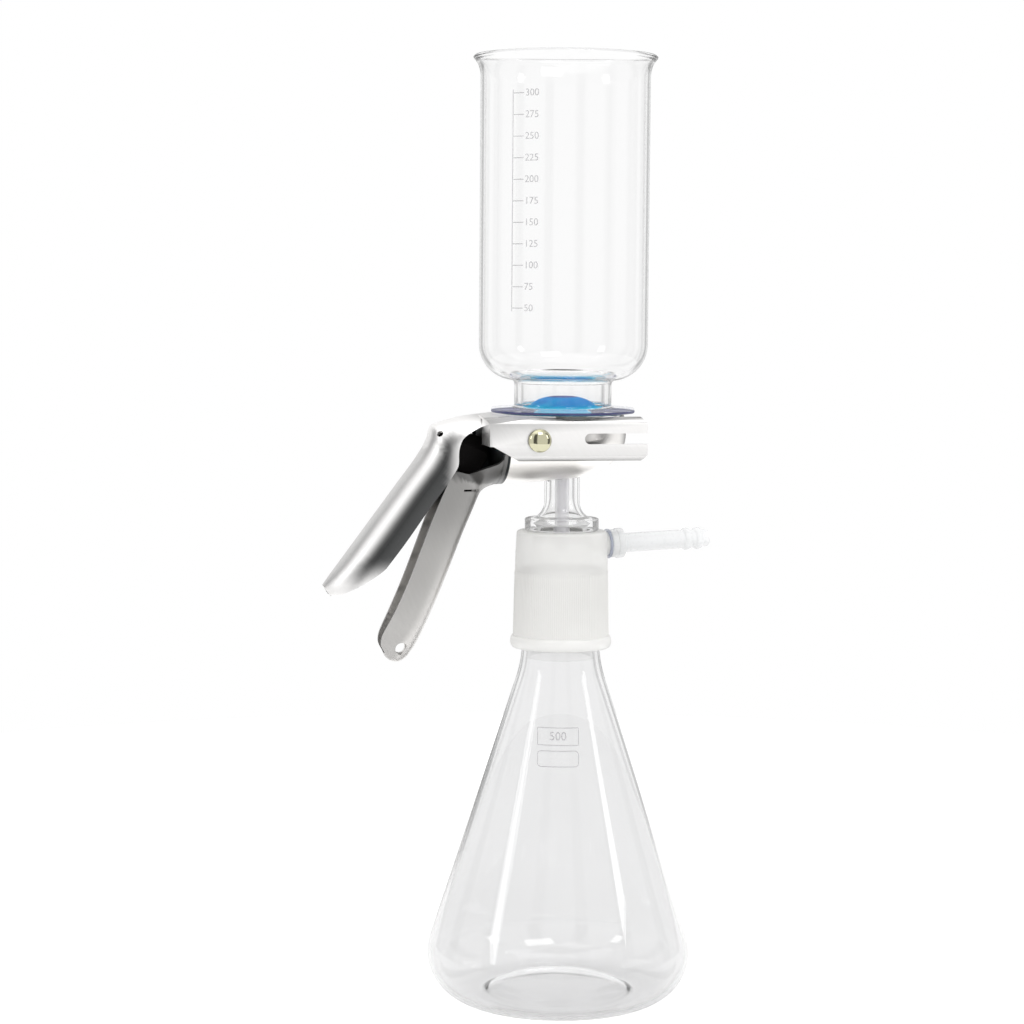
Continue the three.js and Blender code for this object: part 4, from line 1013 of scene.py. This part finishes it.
# handle stations: crown x and z, direction in which the channel opens, half width, depth of its
# free edges below the crown, angle that the section wraps, and how square the section is
upperHandle = [
    (-33.6, 237.6, -92, 12.5, 3.9, 62, 1), (-37.5, 237.4, -96, 12.5, 5.8, 74, 1),
    (-41.2, 236.9, -94, 12.5, 7.8, 86, 1), (-46, 235.8, -76, 12.5, 10.2, 94, 1),
    (-50.5, 234.5, -62, 12.5, 13.6, 99, 1), (-53.6, 233, -53, 12.5, 15.8, 102, 1),
    (-55.1, 228.3, -45, 12.5, 15.2, 104, 1), (-57.2, 223.9, -40, 12.5, 14.6, 105, 1),
    (-67.3, 209.8, -36.4, 12.5, 14.6, 106, 1), (-77.2, 196.4, -36.4, 12.5, 15, 106, 1),
    (-84.6, 186.4, -37, 12.5, 14.8, 104, 1), (-88.6, 181, -42, 11.9, 12.4, 94, 1),
    (-92.2, 176.2, -48, 10.5, 9.6, 80, 1), (-94.8, 172.7, -54, 8.5, 7, 66, 1),
    (-96.58, 170.13, -56, 6, 4, 52, 1),
]
lowerHandle = [
    (-26.8, 210.11, 90, 25.15, 12.44, 70.2, 1), (-29.5, 209.36, 94, 24, 9.6, 68, 1),
    (-32.4, 208.06, 112, 19, 9.2, 76, 1), (-34, 206.46, 126, 10.8, 9.8, 84, 1.3),
    (-35, 204.66, 134, 9.8, 14.6, 90, 1.7), (-36.7, 200.76, 150, 9.6, 14.4, 90, 1.9),
    (-41, 190.76, 157.7, 9.5, 14.2, 90, 2), (-46, 177.86, 157.7, 9.4, 14, 90, 2),
    (-51.4, 164.46, 157.7, 9.2, 13.8, 90, 2), (-56.4, 153.06, 157.7, 8.2, 13.9, 90, 2),
    (-58.8, 147.86, 157.7, 7, 14.1, 90, 1.9), (-61, 144.06, 156, 6, 13.6, 90, 1.8),
    (-63.4, 140.76, 152, 5.2, 11.6, 90, 1.6), (-66.6, 139.06, 142, 4.6, 7.2, 88, 1.4),
    (-69.4, 139.5, 128, 3.9, 4.2, 86, 1.3), (-71.4, 141, 112, 3, 2.1, 84, 1.2),
]


# smooth values between stations, evenly eased through each of them
def between(stations, steps):
    result = []
    for k in range(len(stations) - 1):
        p0, p1 = stations[max(k - 1, 0)], stations[k]
        p2, p3 = stations[k + 1], stations[min(k + 2, len(stations) - 1)]
        spans = [max(math.dist(a[:2], b[:2]), 0.01) for a, b in ((p0, p1), (p1, p2), (p2, p3))]
        for i in range(steps):
            t = i / steps
            row = []
            for a, b, c, d in zip(p0, p1, p2, p3):
                inSlope = (c - b) if p0 is p1 else ((b - a) / spans[0] * spans[1] + (c - b)) / 2
                outSlope = (c - b) if p3 is p2 else ((d - c) / spans[2] * spans[1] + (c - b)) / 2
                limit = 1.5 * abs(c - b) + 1e-9 if (c - b) * inSlope < 0 else 3 * abs(c - b) + 1e-9
                inSlope = max(-limit, min(limit, inSlope))
                outSlope = max(-limit, min(limit, outSlope))
                t2, t3 = t * t, t * t * t
                row.append((2 * t3 - 3 * t2 + 1) * b + (t3 - 2 * t2 + t) * inSlope
                           + (3 * t2 - 2 * t3) * c + (t3 - t2) * outSlope)
            result.append(tuple(row))
    return result + [tuple(stations[-1])]


# channel of pressed sheet along its stations
def channel(name, stations, sheet, steps=5, acrossCount=40):
    rows = between(stations, steps)
    bm = bmesh.new()
    skins = []
    for x, z, opens, halfWidth, depth, wraps, square in rows:
        def power(value):
            return math.copysign(abs(value) ** (1 / square), value)
        wrap = rad(wraps)
        rise = depth / (1 - power(math.cos(wrap)))
        way = (math.cos(rad(opens)), math.sin(rad(opens)))
        both = []
        for inset in (0.0, sheet):
            skin = []
            for i in range(acrossCount + 1):
                turn = wrap * (2 * i / acrossCount - 1)
                side = (halfWidth - inset) * power(math.sin(turn))
                h = (rise - inset) * (1 - power(math.cos(turn))) + inset
                skin.append(bm.verts.new((x + way[0] * h, side, z + way[1] * h)))
            both.append(skin)
        skins.append(both)
    for a, b in zip(skins, skins[1:]):
        for skin in (0, 1):
            for i in range(acrossCount):
                bm.faces.new([a[skin][i], a[skin][i + 1], b[skin][i + 1], b[skin][i]])
        for i in (0, acrossCount):
            bm.faces.new([a[0][i], a[1][i], b[1][i], b[0][i]])
    for both in (skins[0], skins[-1]):
        for i in range(acrossCount):
            bm.faces.new([both[0][i], both[0][i + 1], both[1][i + 1], both[1][i]])
    return newPiece(bm, name)


# 0 at low and below, 1 at high and above, eased between them
def smooth(value, low, high):
    t = max(0.0, min(1.0, (value - low) / (high - low)))
    return t * t * (3 - 2 * t)


# painted shade and painted reflection on the sheet run from 0, plain, to 1, dark; a pair is where one begins
# and where it is whole, in mm along x, y or z, or in degrees round the section (turn)
innerFace = 0.3                # an inner face looks at least this much towards the sheet's hollow side
upperShadePaint = {
    # inside: painted shade in the arm's hollow, darker towards the joint
    "inside": (0.6, 0.4), "insideZ": (190, 212),               # all over, and added above
    # flank: painted dark reflection along the handle's lower edge
    "flank": 0.94, "flankTurn": (62, 92), "flankZ": (168, 182), "flankEndX": (-50, -42),
    # crown: painted grey reflection along the handle's crown
    "crown": (0.1, 0.2), "crownEndTurn": (28, 50), "crownEndZ": (222, 233),
    # wall: painted darker reflection where the fork's back wall turns in
    "wall": 0.4, "wallY": (13, 15), "wallX": (-36, -35), "wallEndX": (-34.7, -34.4),
    # folds: painted shade on the fork's top and lower folds
    "topFold": 0.4, "topFoldZ": (235.6, 237.2), "lowFold": 0.52, "lowFoldEndZ": (220.4, 224.4),
    "foldY": (24, 27), "foldX": (-32, -26),
    # pocket: painted shadow in the pocket under the flange
    "pocket": 0.92, "pocketRadius": 28.25, "pocketZ": (235, 237.3),
}
lowerShadePaint = {
    # inside: painted shade on the inner faces, darker towards the joint
    "inside": (0.2, 0.8), "insideZ": (196, 208), "insideEndX": (-8, 4),
    # cheek: painted shade on the cheek under the fork
    "cheek": 0.86, "cheekEdge": 0.6, "cheekLow": 210.3, "cheekMiddleX": -34, "cheekCurve": 0.02,
    "cheekDrop": 8, "cheekDropX": (-31, -28),
    # handle: painted shade over the handle
    "handle": (0.56, 0.11), "handleZ": (180, 202), "handleEndX": (-32, -28),
    # lit: painted light, a lighter band along the handle's lower part
    "lit": 0.26, "litEndTurn": (45, 75), "litEndZ": (165, 190),
    # ends: painted shade on the jaw's top, where the fork's slot shows it
    "ends": (0.55, 0.6), "endsEndX": (2, 9), "endsX": (19, 24), "endsZ": (224, 227), "endsStartX": (-4, 0),
}


# painted shade and painted reflection on the upper arm, from 0 to 1
def upperShade(p, inner, turn):
    t = upperShadePaint
    if inner > innerFace:
        return t["inside"][0] + t["inside"][1] * smooth(p.z, *t["insideZ"])
    flank = t["flank"] * smooth(turn, *t["flankTurn"]) * smooth(p.z, *t["flankZ"])
    flank *= 1 - smooth(p.x, *t["flankEndX"])
    crown = t["crown"][0] + t["crown"][1] * (1 - smooth(turn, *t["crownEndTurn"]))
    crown *= 1 - smooth(p.z, *t["crownEndZ"])
    wall = t["wall"] * smooth(abs(p.y), *t["wallY"]) * smooth(p.x, *t["wallX"])
    wall *= 1 - smooth(p.x, *t["wallEndX"])
    folds = t["topFold"] * smooth(p.z, *t["topFoldZ"]) + t["lowFold"] * (1 - smooth(p.z, *t["lowFoldEndZ"]))
    folds *= smooth(abs(p.y), *t["foldY"]) * smooth(p.x, *t["foldX"])
    low, high = t["pocketZ"]
    pocket = t["pocket"] if math.hypot(p.x, p.y) < t["pocketRadius"] and low < p.z < high else 0.0
    return max(flank, crown, wall, folds, pocket)


# painted shade and painted light on the lower arm, from 0 to 1
def lowerShade(p, inner, turn):
    t = lowerShadePaint
    if inner > innerFace:
        top = smooth(p.z, *t["insideZ"]) * (1 - smooth(p.x, *t["insideEndX"]))
        return t["inside"][0] + t["inside"][1] * top
    # a narrow line of painted shade in the crease between jaw and handle
    behind = 1 - smooth(p.x, *jawSize["seamShade"][2:])
    seamShade = smooth(p.x, *jawSize["seamShade"][:2]) * behind
    low = t["cheekLow"] + t["cheekCurve"] * (p.x - t["cheekMiddleX"]) ** 2
    low -= t["cheekDrop"] * smooth(p.x, *t["cheekDropX"])
    cheek = t["cheek"] * smooth(p.z, low - t["cheekEdge"], low + t["cheekEdge"]) * behind
    handle = t["handle"][0] + t["handle"][1] * smooth(p.z, *t["handleZ"])
    handle -= t["lit"] * (1 - smooth(turn, *t["litEndTurn"])) * (1 - smooth(p.z, *t["litEndZ"]))
    ends = t["ends"][0] * (1 - smooth(p.x, *t["endsEndX"])) + t["ends"][1] * smooth(p.x, *t["endsX"])
    ends *= smooth(p.z, *t["endsZ"]) * smooth(p.x, *t["endsStartX"])       # painted shade where the fork's slot shows the jaw
    return max(handle * (1 - smooth(p.x, *t["handleEndX"])), cheek, seamShade, ends)


# paints shade and reflection onto a piece's points as painted colour; each looks out from the nearest middle
# of its handle or of the fork
def paintShade(piece, stations, shadeOf):
    centres = []
    for x, z, opens, _, depth, *_ in between(stations, 3):
        way = Vector((math.cos(rad(opens)), 0, math.sin(rad(opens))))
        centres.append((Vector((x, 0, z)) + way * depth * 0.6, -way))
    middle = Vector((0, 0, clampSize["pivotZ"] - 2))
    centres += [(middle + Vector((x, 0, 0)), Vector((0, 0, 1))) for x in range(-30, 24, 4)]
    home = clampPlace.inverted()
    turnHome = home.to_3x3().normalized()
    shades = piece.data.attributes.new("shade", "FLOAT", "POINT")
    for i, vertex in enumerate(piece.data.vertices):
        p = home @ vertex.co
        centre, crown = min(centres, key=lambda c: (c[0].x - p.x) ** 2 + (c[0].z - p.z) ** 2)
        out = Vector((0, p.y, 0)) + Vector((p.x - centre.x, 0, p.z - centre.z))
        out.normalize()
        inner = -out.dot(turnHome @ vertex.normal)
        turn = math.degrees(math.acos(max(-1, min(1, out.dot(crown)))))
        shades.data[i].value = shadeOf(p, inner, turn)


# fork's section in y, z: its outside, or its inside with the opening below
def forkSection(s, c, inset):
    side, top = s["halfWidth"] - inset, c["forkTop"] - inset
    upper, lower = s["topFold"] - inset, s["bottomFold"] - inset
    low = c["forkFoot"] + s["bottomFold"]
    row = low + s["foldShadeRow"]
    lip = 86 if inset else 90
    foldY = s["halfWidth"] - s["bottomFold"]
    path = arc(foldY, low, lower, lower, -lip, 0, 10) + [(side, row)]
    path += arc(side - upper, top - upper, upper, upper, 0, 90, 10)
    path += arc(upper - side, top - upper, upper, upper, 90, 180, 10) + [(-side, row)]
    path += arc(-foldY, low, lower, lower, 180, 180 + lip, 10)
    if inset:
        lipY = foldY + s["bottomFold"] * math.cos(rad(lip))
        path += [(-lipY, c["forkFoot"] - 1), (lipY, c["forkFoot"] - 1)]
    return path


# leans a piece: z rises by slope for each mm of x past x0
def slopedUp(piece, slope, x0):
    return moved(piece, Matrix(((1, 0, 0, 0), (0, 1, 0, 0), (slope, 0, 1, -slope * x0), (0, 0, 0, 1))))


# arched solid that rounds off the fork's top face towards the back
def forkCrown(s, c, inset):
    wide = s["halfWidth"] + 2
    top = c["forkTop"] - 0.3 - inset
    fall = s["crownDrop"] * (wide / s["halfWidth"]) ** 2
    path = [(-wide, c["forkFoot"] - 8), (wide, c["forkFoot"] - 8)]
    path += bend((wide, top - fall), (0, top + fall), (-wide, top - fall), 32)
    crown = barAlong("crown", path, s["back"] - 2, s["tip"] + 4)
    return slopedUp(crown, s["crownDrop"] / s["crownLength"], s["back"])


def pivotDrill(s, c):
    drill = rod("pivotDrill", c["hole"], -s["halfWidth"] - 2, s["halfWidth"] + 2, 32)
    return across(drill, c["pivotX"], c["pivotZ"])


def makeFork(s, c):
    back, tip, half, cut = s["back"], s["tip"], s["halfWidth"], s["tipChamfer"]
    wide, top, foot, sheet, neck = half + 2, c["forkTop"], c["forkFoot"], c["sheet"], s["neckHalfWidth"]
    fork = barAlong("upperArm", forkSection(s, c, 0), back, tip)
    combine(fork, "INTERSECT", forkCrown(s, c, 0))
    inside = barAlong("inside", forkSection(s, c, sheet), back + sheet, tip + 2)
    combine(inside, "INTERSECT", forkCrown(s, c, sheet))
    combine(fork, "DIFFERENCE", inside)
    neckGap = block("neckGap", back - 1, sheet - neck, foot - 1, back + sheet + 1, neck - sheet, top - sheet)
    rise, front = foot + s["heelRise"], back + sheet
    heel = slabAcross("heel", [(back - 1, rise), (front, rise), (front + s["heelLength"], foot - 1),
                               (back - 1, foot - 1)], -wide, wide)
    upperTip = slabAcross("upperTip", [(tip - cut, top + 2), (tip - cut, top), (tip, top - cut),
                                       (tip + 1, top - cut), (tip + 1, top + 2)], -wide, wide)
    lowerTip = slabAcross("lowerTip", [(tip - cut, foot - 1), (tip + 1, foot - 1), (tip + 1, foot + cut),
                                       (tip, foot + cut), (tip - cut, foot)], -wide, wide)
    mouth = s["mouthRadius"]
    roundEnd = rod("mouth", mouth, top - sheet - 1, top + 2, 128)
    strip = block("strip", 0, -mouth, top - sheet - 1, tip + 1, mouth, top + 2)
    relief = rod("relief", s["reliefRadius"], top - s["reliefDepth"], top + 2, 128)
    combine(relief, "INTERSECT", block("keep", s["reliefStart"], -wide, foot, tip / 2, wide, top + 2))
    slotZ, slotHalf = top - s["slotDrop"], s["slotHeight"] / 2
    slotX = s["slotStart"] + slotHalf
    slot = block("slot", slotX, -wide, slotZ - slotHalf, tip + 1, wide, slotZ + slotHalf)
    combine(slot, "UNION", across(rod("slotEnd", slotHalf, -wide, wide, 40), slotX, slotZ))
    combine(fork, "DIFFERENCE", neckGap, heel, upperTip, lowerTip, roundEnd, strip, relief, slot)
    return fork


upperCuts = {
    "slitX": (-34.2, -29.6), "slitY": (17.6, -18.5), "slitWidth": 0.9, "slitDepth": 4,
    "hole": 1.3, "holeX": -50.9, "holeY": -8.4, "holeDrop": 7.6, "holeLean": (0.9, -0.55),
}
lowerCuts = {
    "slitX": (-41.5, -36.6), "slitY": (7, -20), "slitWidth": 13, "slitDrop": (3.8, 3),
    "hole": 2.5, "holeX": -65.6, "holeDrop": 65,
}


# a clamp's arm: eased, put in its place, given its painted shade, and given its finish
def finishArm(arm, stations, shadeOf, material, body, node):
    easeEdges(arm, clampSize["easedEdge"])
    setPlace(arm, clampPlace, 30)
    paintShade(arm, stations, shadeOf)
    give(arm, finish[material], body, [node])


def makeUpperArm():
    s, c, cuts = forkSize, clampSize, upperCuts
    top = c["forkTop"]
    arm = makeFork(s, c)
    combine(arm, "UNION", channel("handle", upperHandle, c["sheet"]))
    back, front = cuts["slitX"]
    slits = [block("slit", back, y, top - cuts["slitDepth"], front, y + cuts["slitWidth"], top + 1)
             for y in cuts["slitY"]]
    leanX, leanY = cuts["holeLean"]
    lay = (Matrix.Translation((cuts["holeX"], cuts["holeY"], top - cuts["holeDrop"]))
           @ Matrix.Rotation(leanX, 4, "X") @ Matrix.Rotation(leanY, 4, "Y"))
    hole = moved(rod("bendHole", cuts["hole"], -4, 4, 24), lay)
    combine(arm, "DIFFERENCE", *slits, hole, pivotDrill(s, c))
    finishArm(arm, upperHandle, upperShade, "upperSatin", "unit", "upper_arm")
    print("upper arm ready")


# half bowl at the front and a trough behind it, both filled
def jawFill(s, c, inset, steps=72):
    half, depth, foot = s["halfWidth"] - inset, s["depth"] - inset, c["jawFoot"]
    profile = arc(0, foot + s["depth"], half, depth, -90, 0, 18) + [(half, c["jawRim"] + 3 + inset)]
    turns = [rad(-90 + 180 * i / steps) for i in range(steps + 1)]
    # extra columns stand at the edges of the painted shade in the crease
    sides = (s["back"] - inset, *s["seamShade"])
    path = [(turns[0], x) for x in sides] + [(turn, 0) for turn in turns]
    path += [(turns[-1], x) for x in sides[::-1]]
    bm = bmesh.new()
    columns = []
    for turn, x in path:
        fall = [s["fall"] * x if (r, z) != profile[-1] else 0 for r, z in profile]
        columns.append([bm.verts.new((x + r * math.cos(turn), r * math.sin(turn), z + drop))
                        for (r, z), drop in zip(profile, fall)])
    for a, b in zip(columns, columns[1:]):
        for i in range(len(profile) - 1):
            bm.faces.new([a[i], b[i], b[i + 1], a[i + 1]])
    bm.faces.new([column[-1] for column in columns])
    bm.faces.new(columns[0][::-1] + columns[-1][1:])
    return newPiece(bm, "jawFill")


def makeLowerArm():
    s, c, cuts = jawSize, clampSize, lowerCuts
    half, foot, rim, back = s["halfWidth"], c["jawFoot"], c["jawRim"], s["back"]
    wide = half + 2
    arm = jawFill(s, c, 0)
    arm.name = "lowerArm"
    above = block("top", back - 2, -wide, rim, wide, wide, rim + 6)
    combine(arm, "DIFFERENCE", jawFill(s, c, c["sheet"]), above)
    gapHalf = s["slotHalfWidth"]
    stemSlot = rod("stemSlot", gapHalf, foot - 2, foot + s["depth"] - 2, 64)
    stemGap = block("stemGap", 0, -gapHalf, foot - 2, wide, gapHalf, rim + 2)
    behind, backZ = c["pivotX"] - s["earRadius"], rim - s["backDrop"]
    backCut = slabAcross("backCut", [(behind, rim + 2), (behind, c["pivotZ"]), (back, backZ),
                                     (back - 20, backZ), (back - 20, rim + 2)], -wide, wide)
    combine(arm, "DIFFERENCE", stemSlot, stemGap, backCut)
    combine(arm, "UNION", channel("handle", lowerHandle, c["sheet"]))
    holeZ = foot + s["fall"] * back - cuts["holeDrop"]
    hangHole = across(rod("hangHole", cuts["hole"], -20, 20, 48), cuts["holeX"], holeZ)
    (start, end), (low, high) = cuts["slitX"], cuts["slitDrop"]
    slits = [block("slit", start, y, foot - low, end, y + cuts["slitWidth"], foot - high)
             for y in cuts["slitY"]]
    combine(arm, "DIFFERENCE", hangHole, *slits, pivotDrill(forkSize, c))
    finishArm(arm, lowerHandle, lowerShade, "lowerSatin", "lower_lever", "lower_arm")
    print("lower arm ready")


# rivet and washer are drawn along Z, with z 0 on the fork's outer face
pivotSize = {
    "shank": 2.0, "headRadius": 4.6, "headHeight": 3.0, "headRoom": 0.3, "edge": 0.6, "tailRadius": 3.0,
    "tailHeight": 1.2, "tailRoom": 1.4, "washerRadius": 4.2, "washerRoom": 0.3, "holeRoom": 0.3,
    "tone": 0.75, "rimShadeEndZ": (0.5, 1.7),      # painted shade on the head's edge: how dark it is, and where it ends
}


def makePivots():
    p, c = pivotSize, clampSize
    half, jawHalf, sheet = forkSize["halfWidth"], jawSize["halfWidth"], c["sheet"]
    tail = jawHalf - sheet - p["tailRoom"] - half
    low, r, head, room = tail - p["tailHeight"], p["tailRadius"], p["headRadius"], p["headRoom"]
    rivetLine = [(0, low)] + bend((r - 0.4, low), (r, low), (r, low + 0.4), 4)
    rivetLine += [(r, tail), (p["shank"], tail), (p["shank"], room), (head - 0.15, room), (head, room + 0.15)]
    rivetLine += arc(0, room + p["edge"], head, p["headHeight"] - p["edge"], 0, 90, 16)
    low, high = p["washerRoom"] - sheet - (half - sheet - jawHalf), -sheet - p["washerRoom"]
    hole, rim = p["shank"] + p["holeRoom"], p["washerRadius"]
    washerLine = [(hole, low), (rim - 0.12, low), (rim, low + 0.12), (rim, high - 0.12), (rim - 0.12, high),
                  (hole, high)]
    for name, side in (("front", -1), ("rear", 1)):
        place = (clampPlace @ Matrix.Translation((c["pivotX"], side * half, c["pivotZ"]))
                 @ Matrix.Rotation(rad(-side * 90), 4, "X"))
        rivet = turned("pivotRivet." + name, rivetLine, 64)
        # painted shade round the foot of the rivet's head
        shades = rivet.data.attributes.new("shade", "FLOAT", "POINT")
        for i, vertex in enumerate(rivet.data.vertices):
            shades.data[i].value = p["tone"] * (1 - smooth(vertex.co.z, *p["rimShadeEndZ"]))
        setPlace(rivet, place)
        give(rivet, finish["rivetMetal"], "unit", ["pivot_rivet_" + name])
        washer = setPlace(turned("pivotWasher." + name, washerLine, 48), place)
        give(washer, finish["upperSatin"], "unit", ["pivot_washer_" + name])
    print("pivots ready")


springSize = {
    "halfWidth": 5.3, "thickness": 0.8, "wingInset": 0.1, "easedEdge": 0.15,
    "line": [(-50.6, 230.5), (-42, 226.7), (-33.5, 223.3), (-31.5, 221.2), (-33, 218.3), (-37.2, 210.4),
             (-40.2, 202.6)],
    "wing": [(-47.5, 230.1), (-42, 231.1), (-34.5, 229), (-31.4, 224.5), (-31.3, 220.3), (-32.8, 218.1),
             (-37, 210.2), (-39, 206), (-45, 214)],
    "bendStart": (-34, 222), "bendEnd": (-36.5, 212),          # where it goes over to the lower arm
}


def makeSpring():
    s = springSize
    line = between([(*p, 0.0) for p in s["line"]], 8)
    half = s["thickness"] / 2
    sides = [[], []]
    for i, p in enumerate(line):
        a, b = line[max(i - 1, 0)], line[min(i + 1, len(line) - 1)]
        size = math.dist(a[:2], b[:2])
        ax, az = (b[0] - a[0]) / size, (b[1] - a[1]) / size
        sides[0].append((p[0] - az * half, p[1] + ax * half))
        sides[1].append((p[0] + az * half, p[1] - ax * half))
    spring = slabAcross("handleSpring", sides[0] + sides[1][::-1], -s["halfWidth"], s["halfWidth"])
    out = s["halfWidth"] - s["wingInset"]
    combine(spring, "UNION", slabAcross("wing", s["wing"], out - s["thickness"], out),
            slabAcross("wing", s["wing"], -out, s["thickness"] - out))
    easeEdges(spring, s["easedEdge"])
    setPlace(spring, clampPlace, 30)
    give(spring, finish["springSteel"], None, ["handle_spring"])
    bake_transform(spring)
    print("spring ready")


makeFlask()
makeBase()
makeFilter()
makeFunnel()
makeCap()
makeArm()
makePrints()
makeUpperArm()
makeLowerArm()
makePivots()
makeSpring()
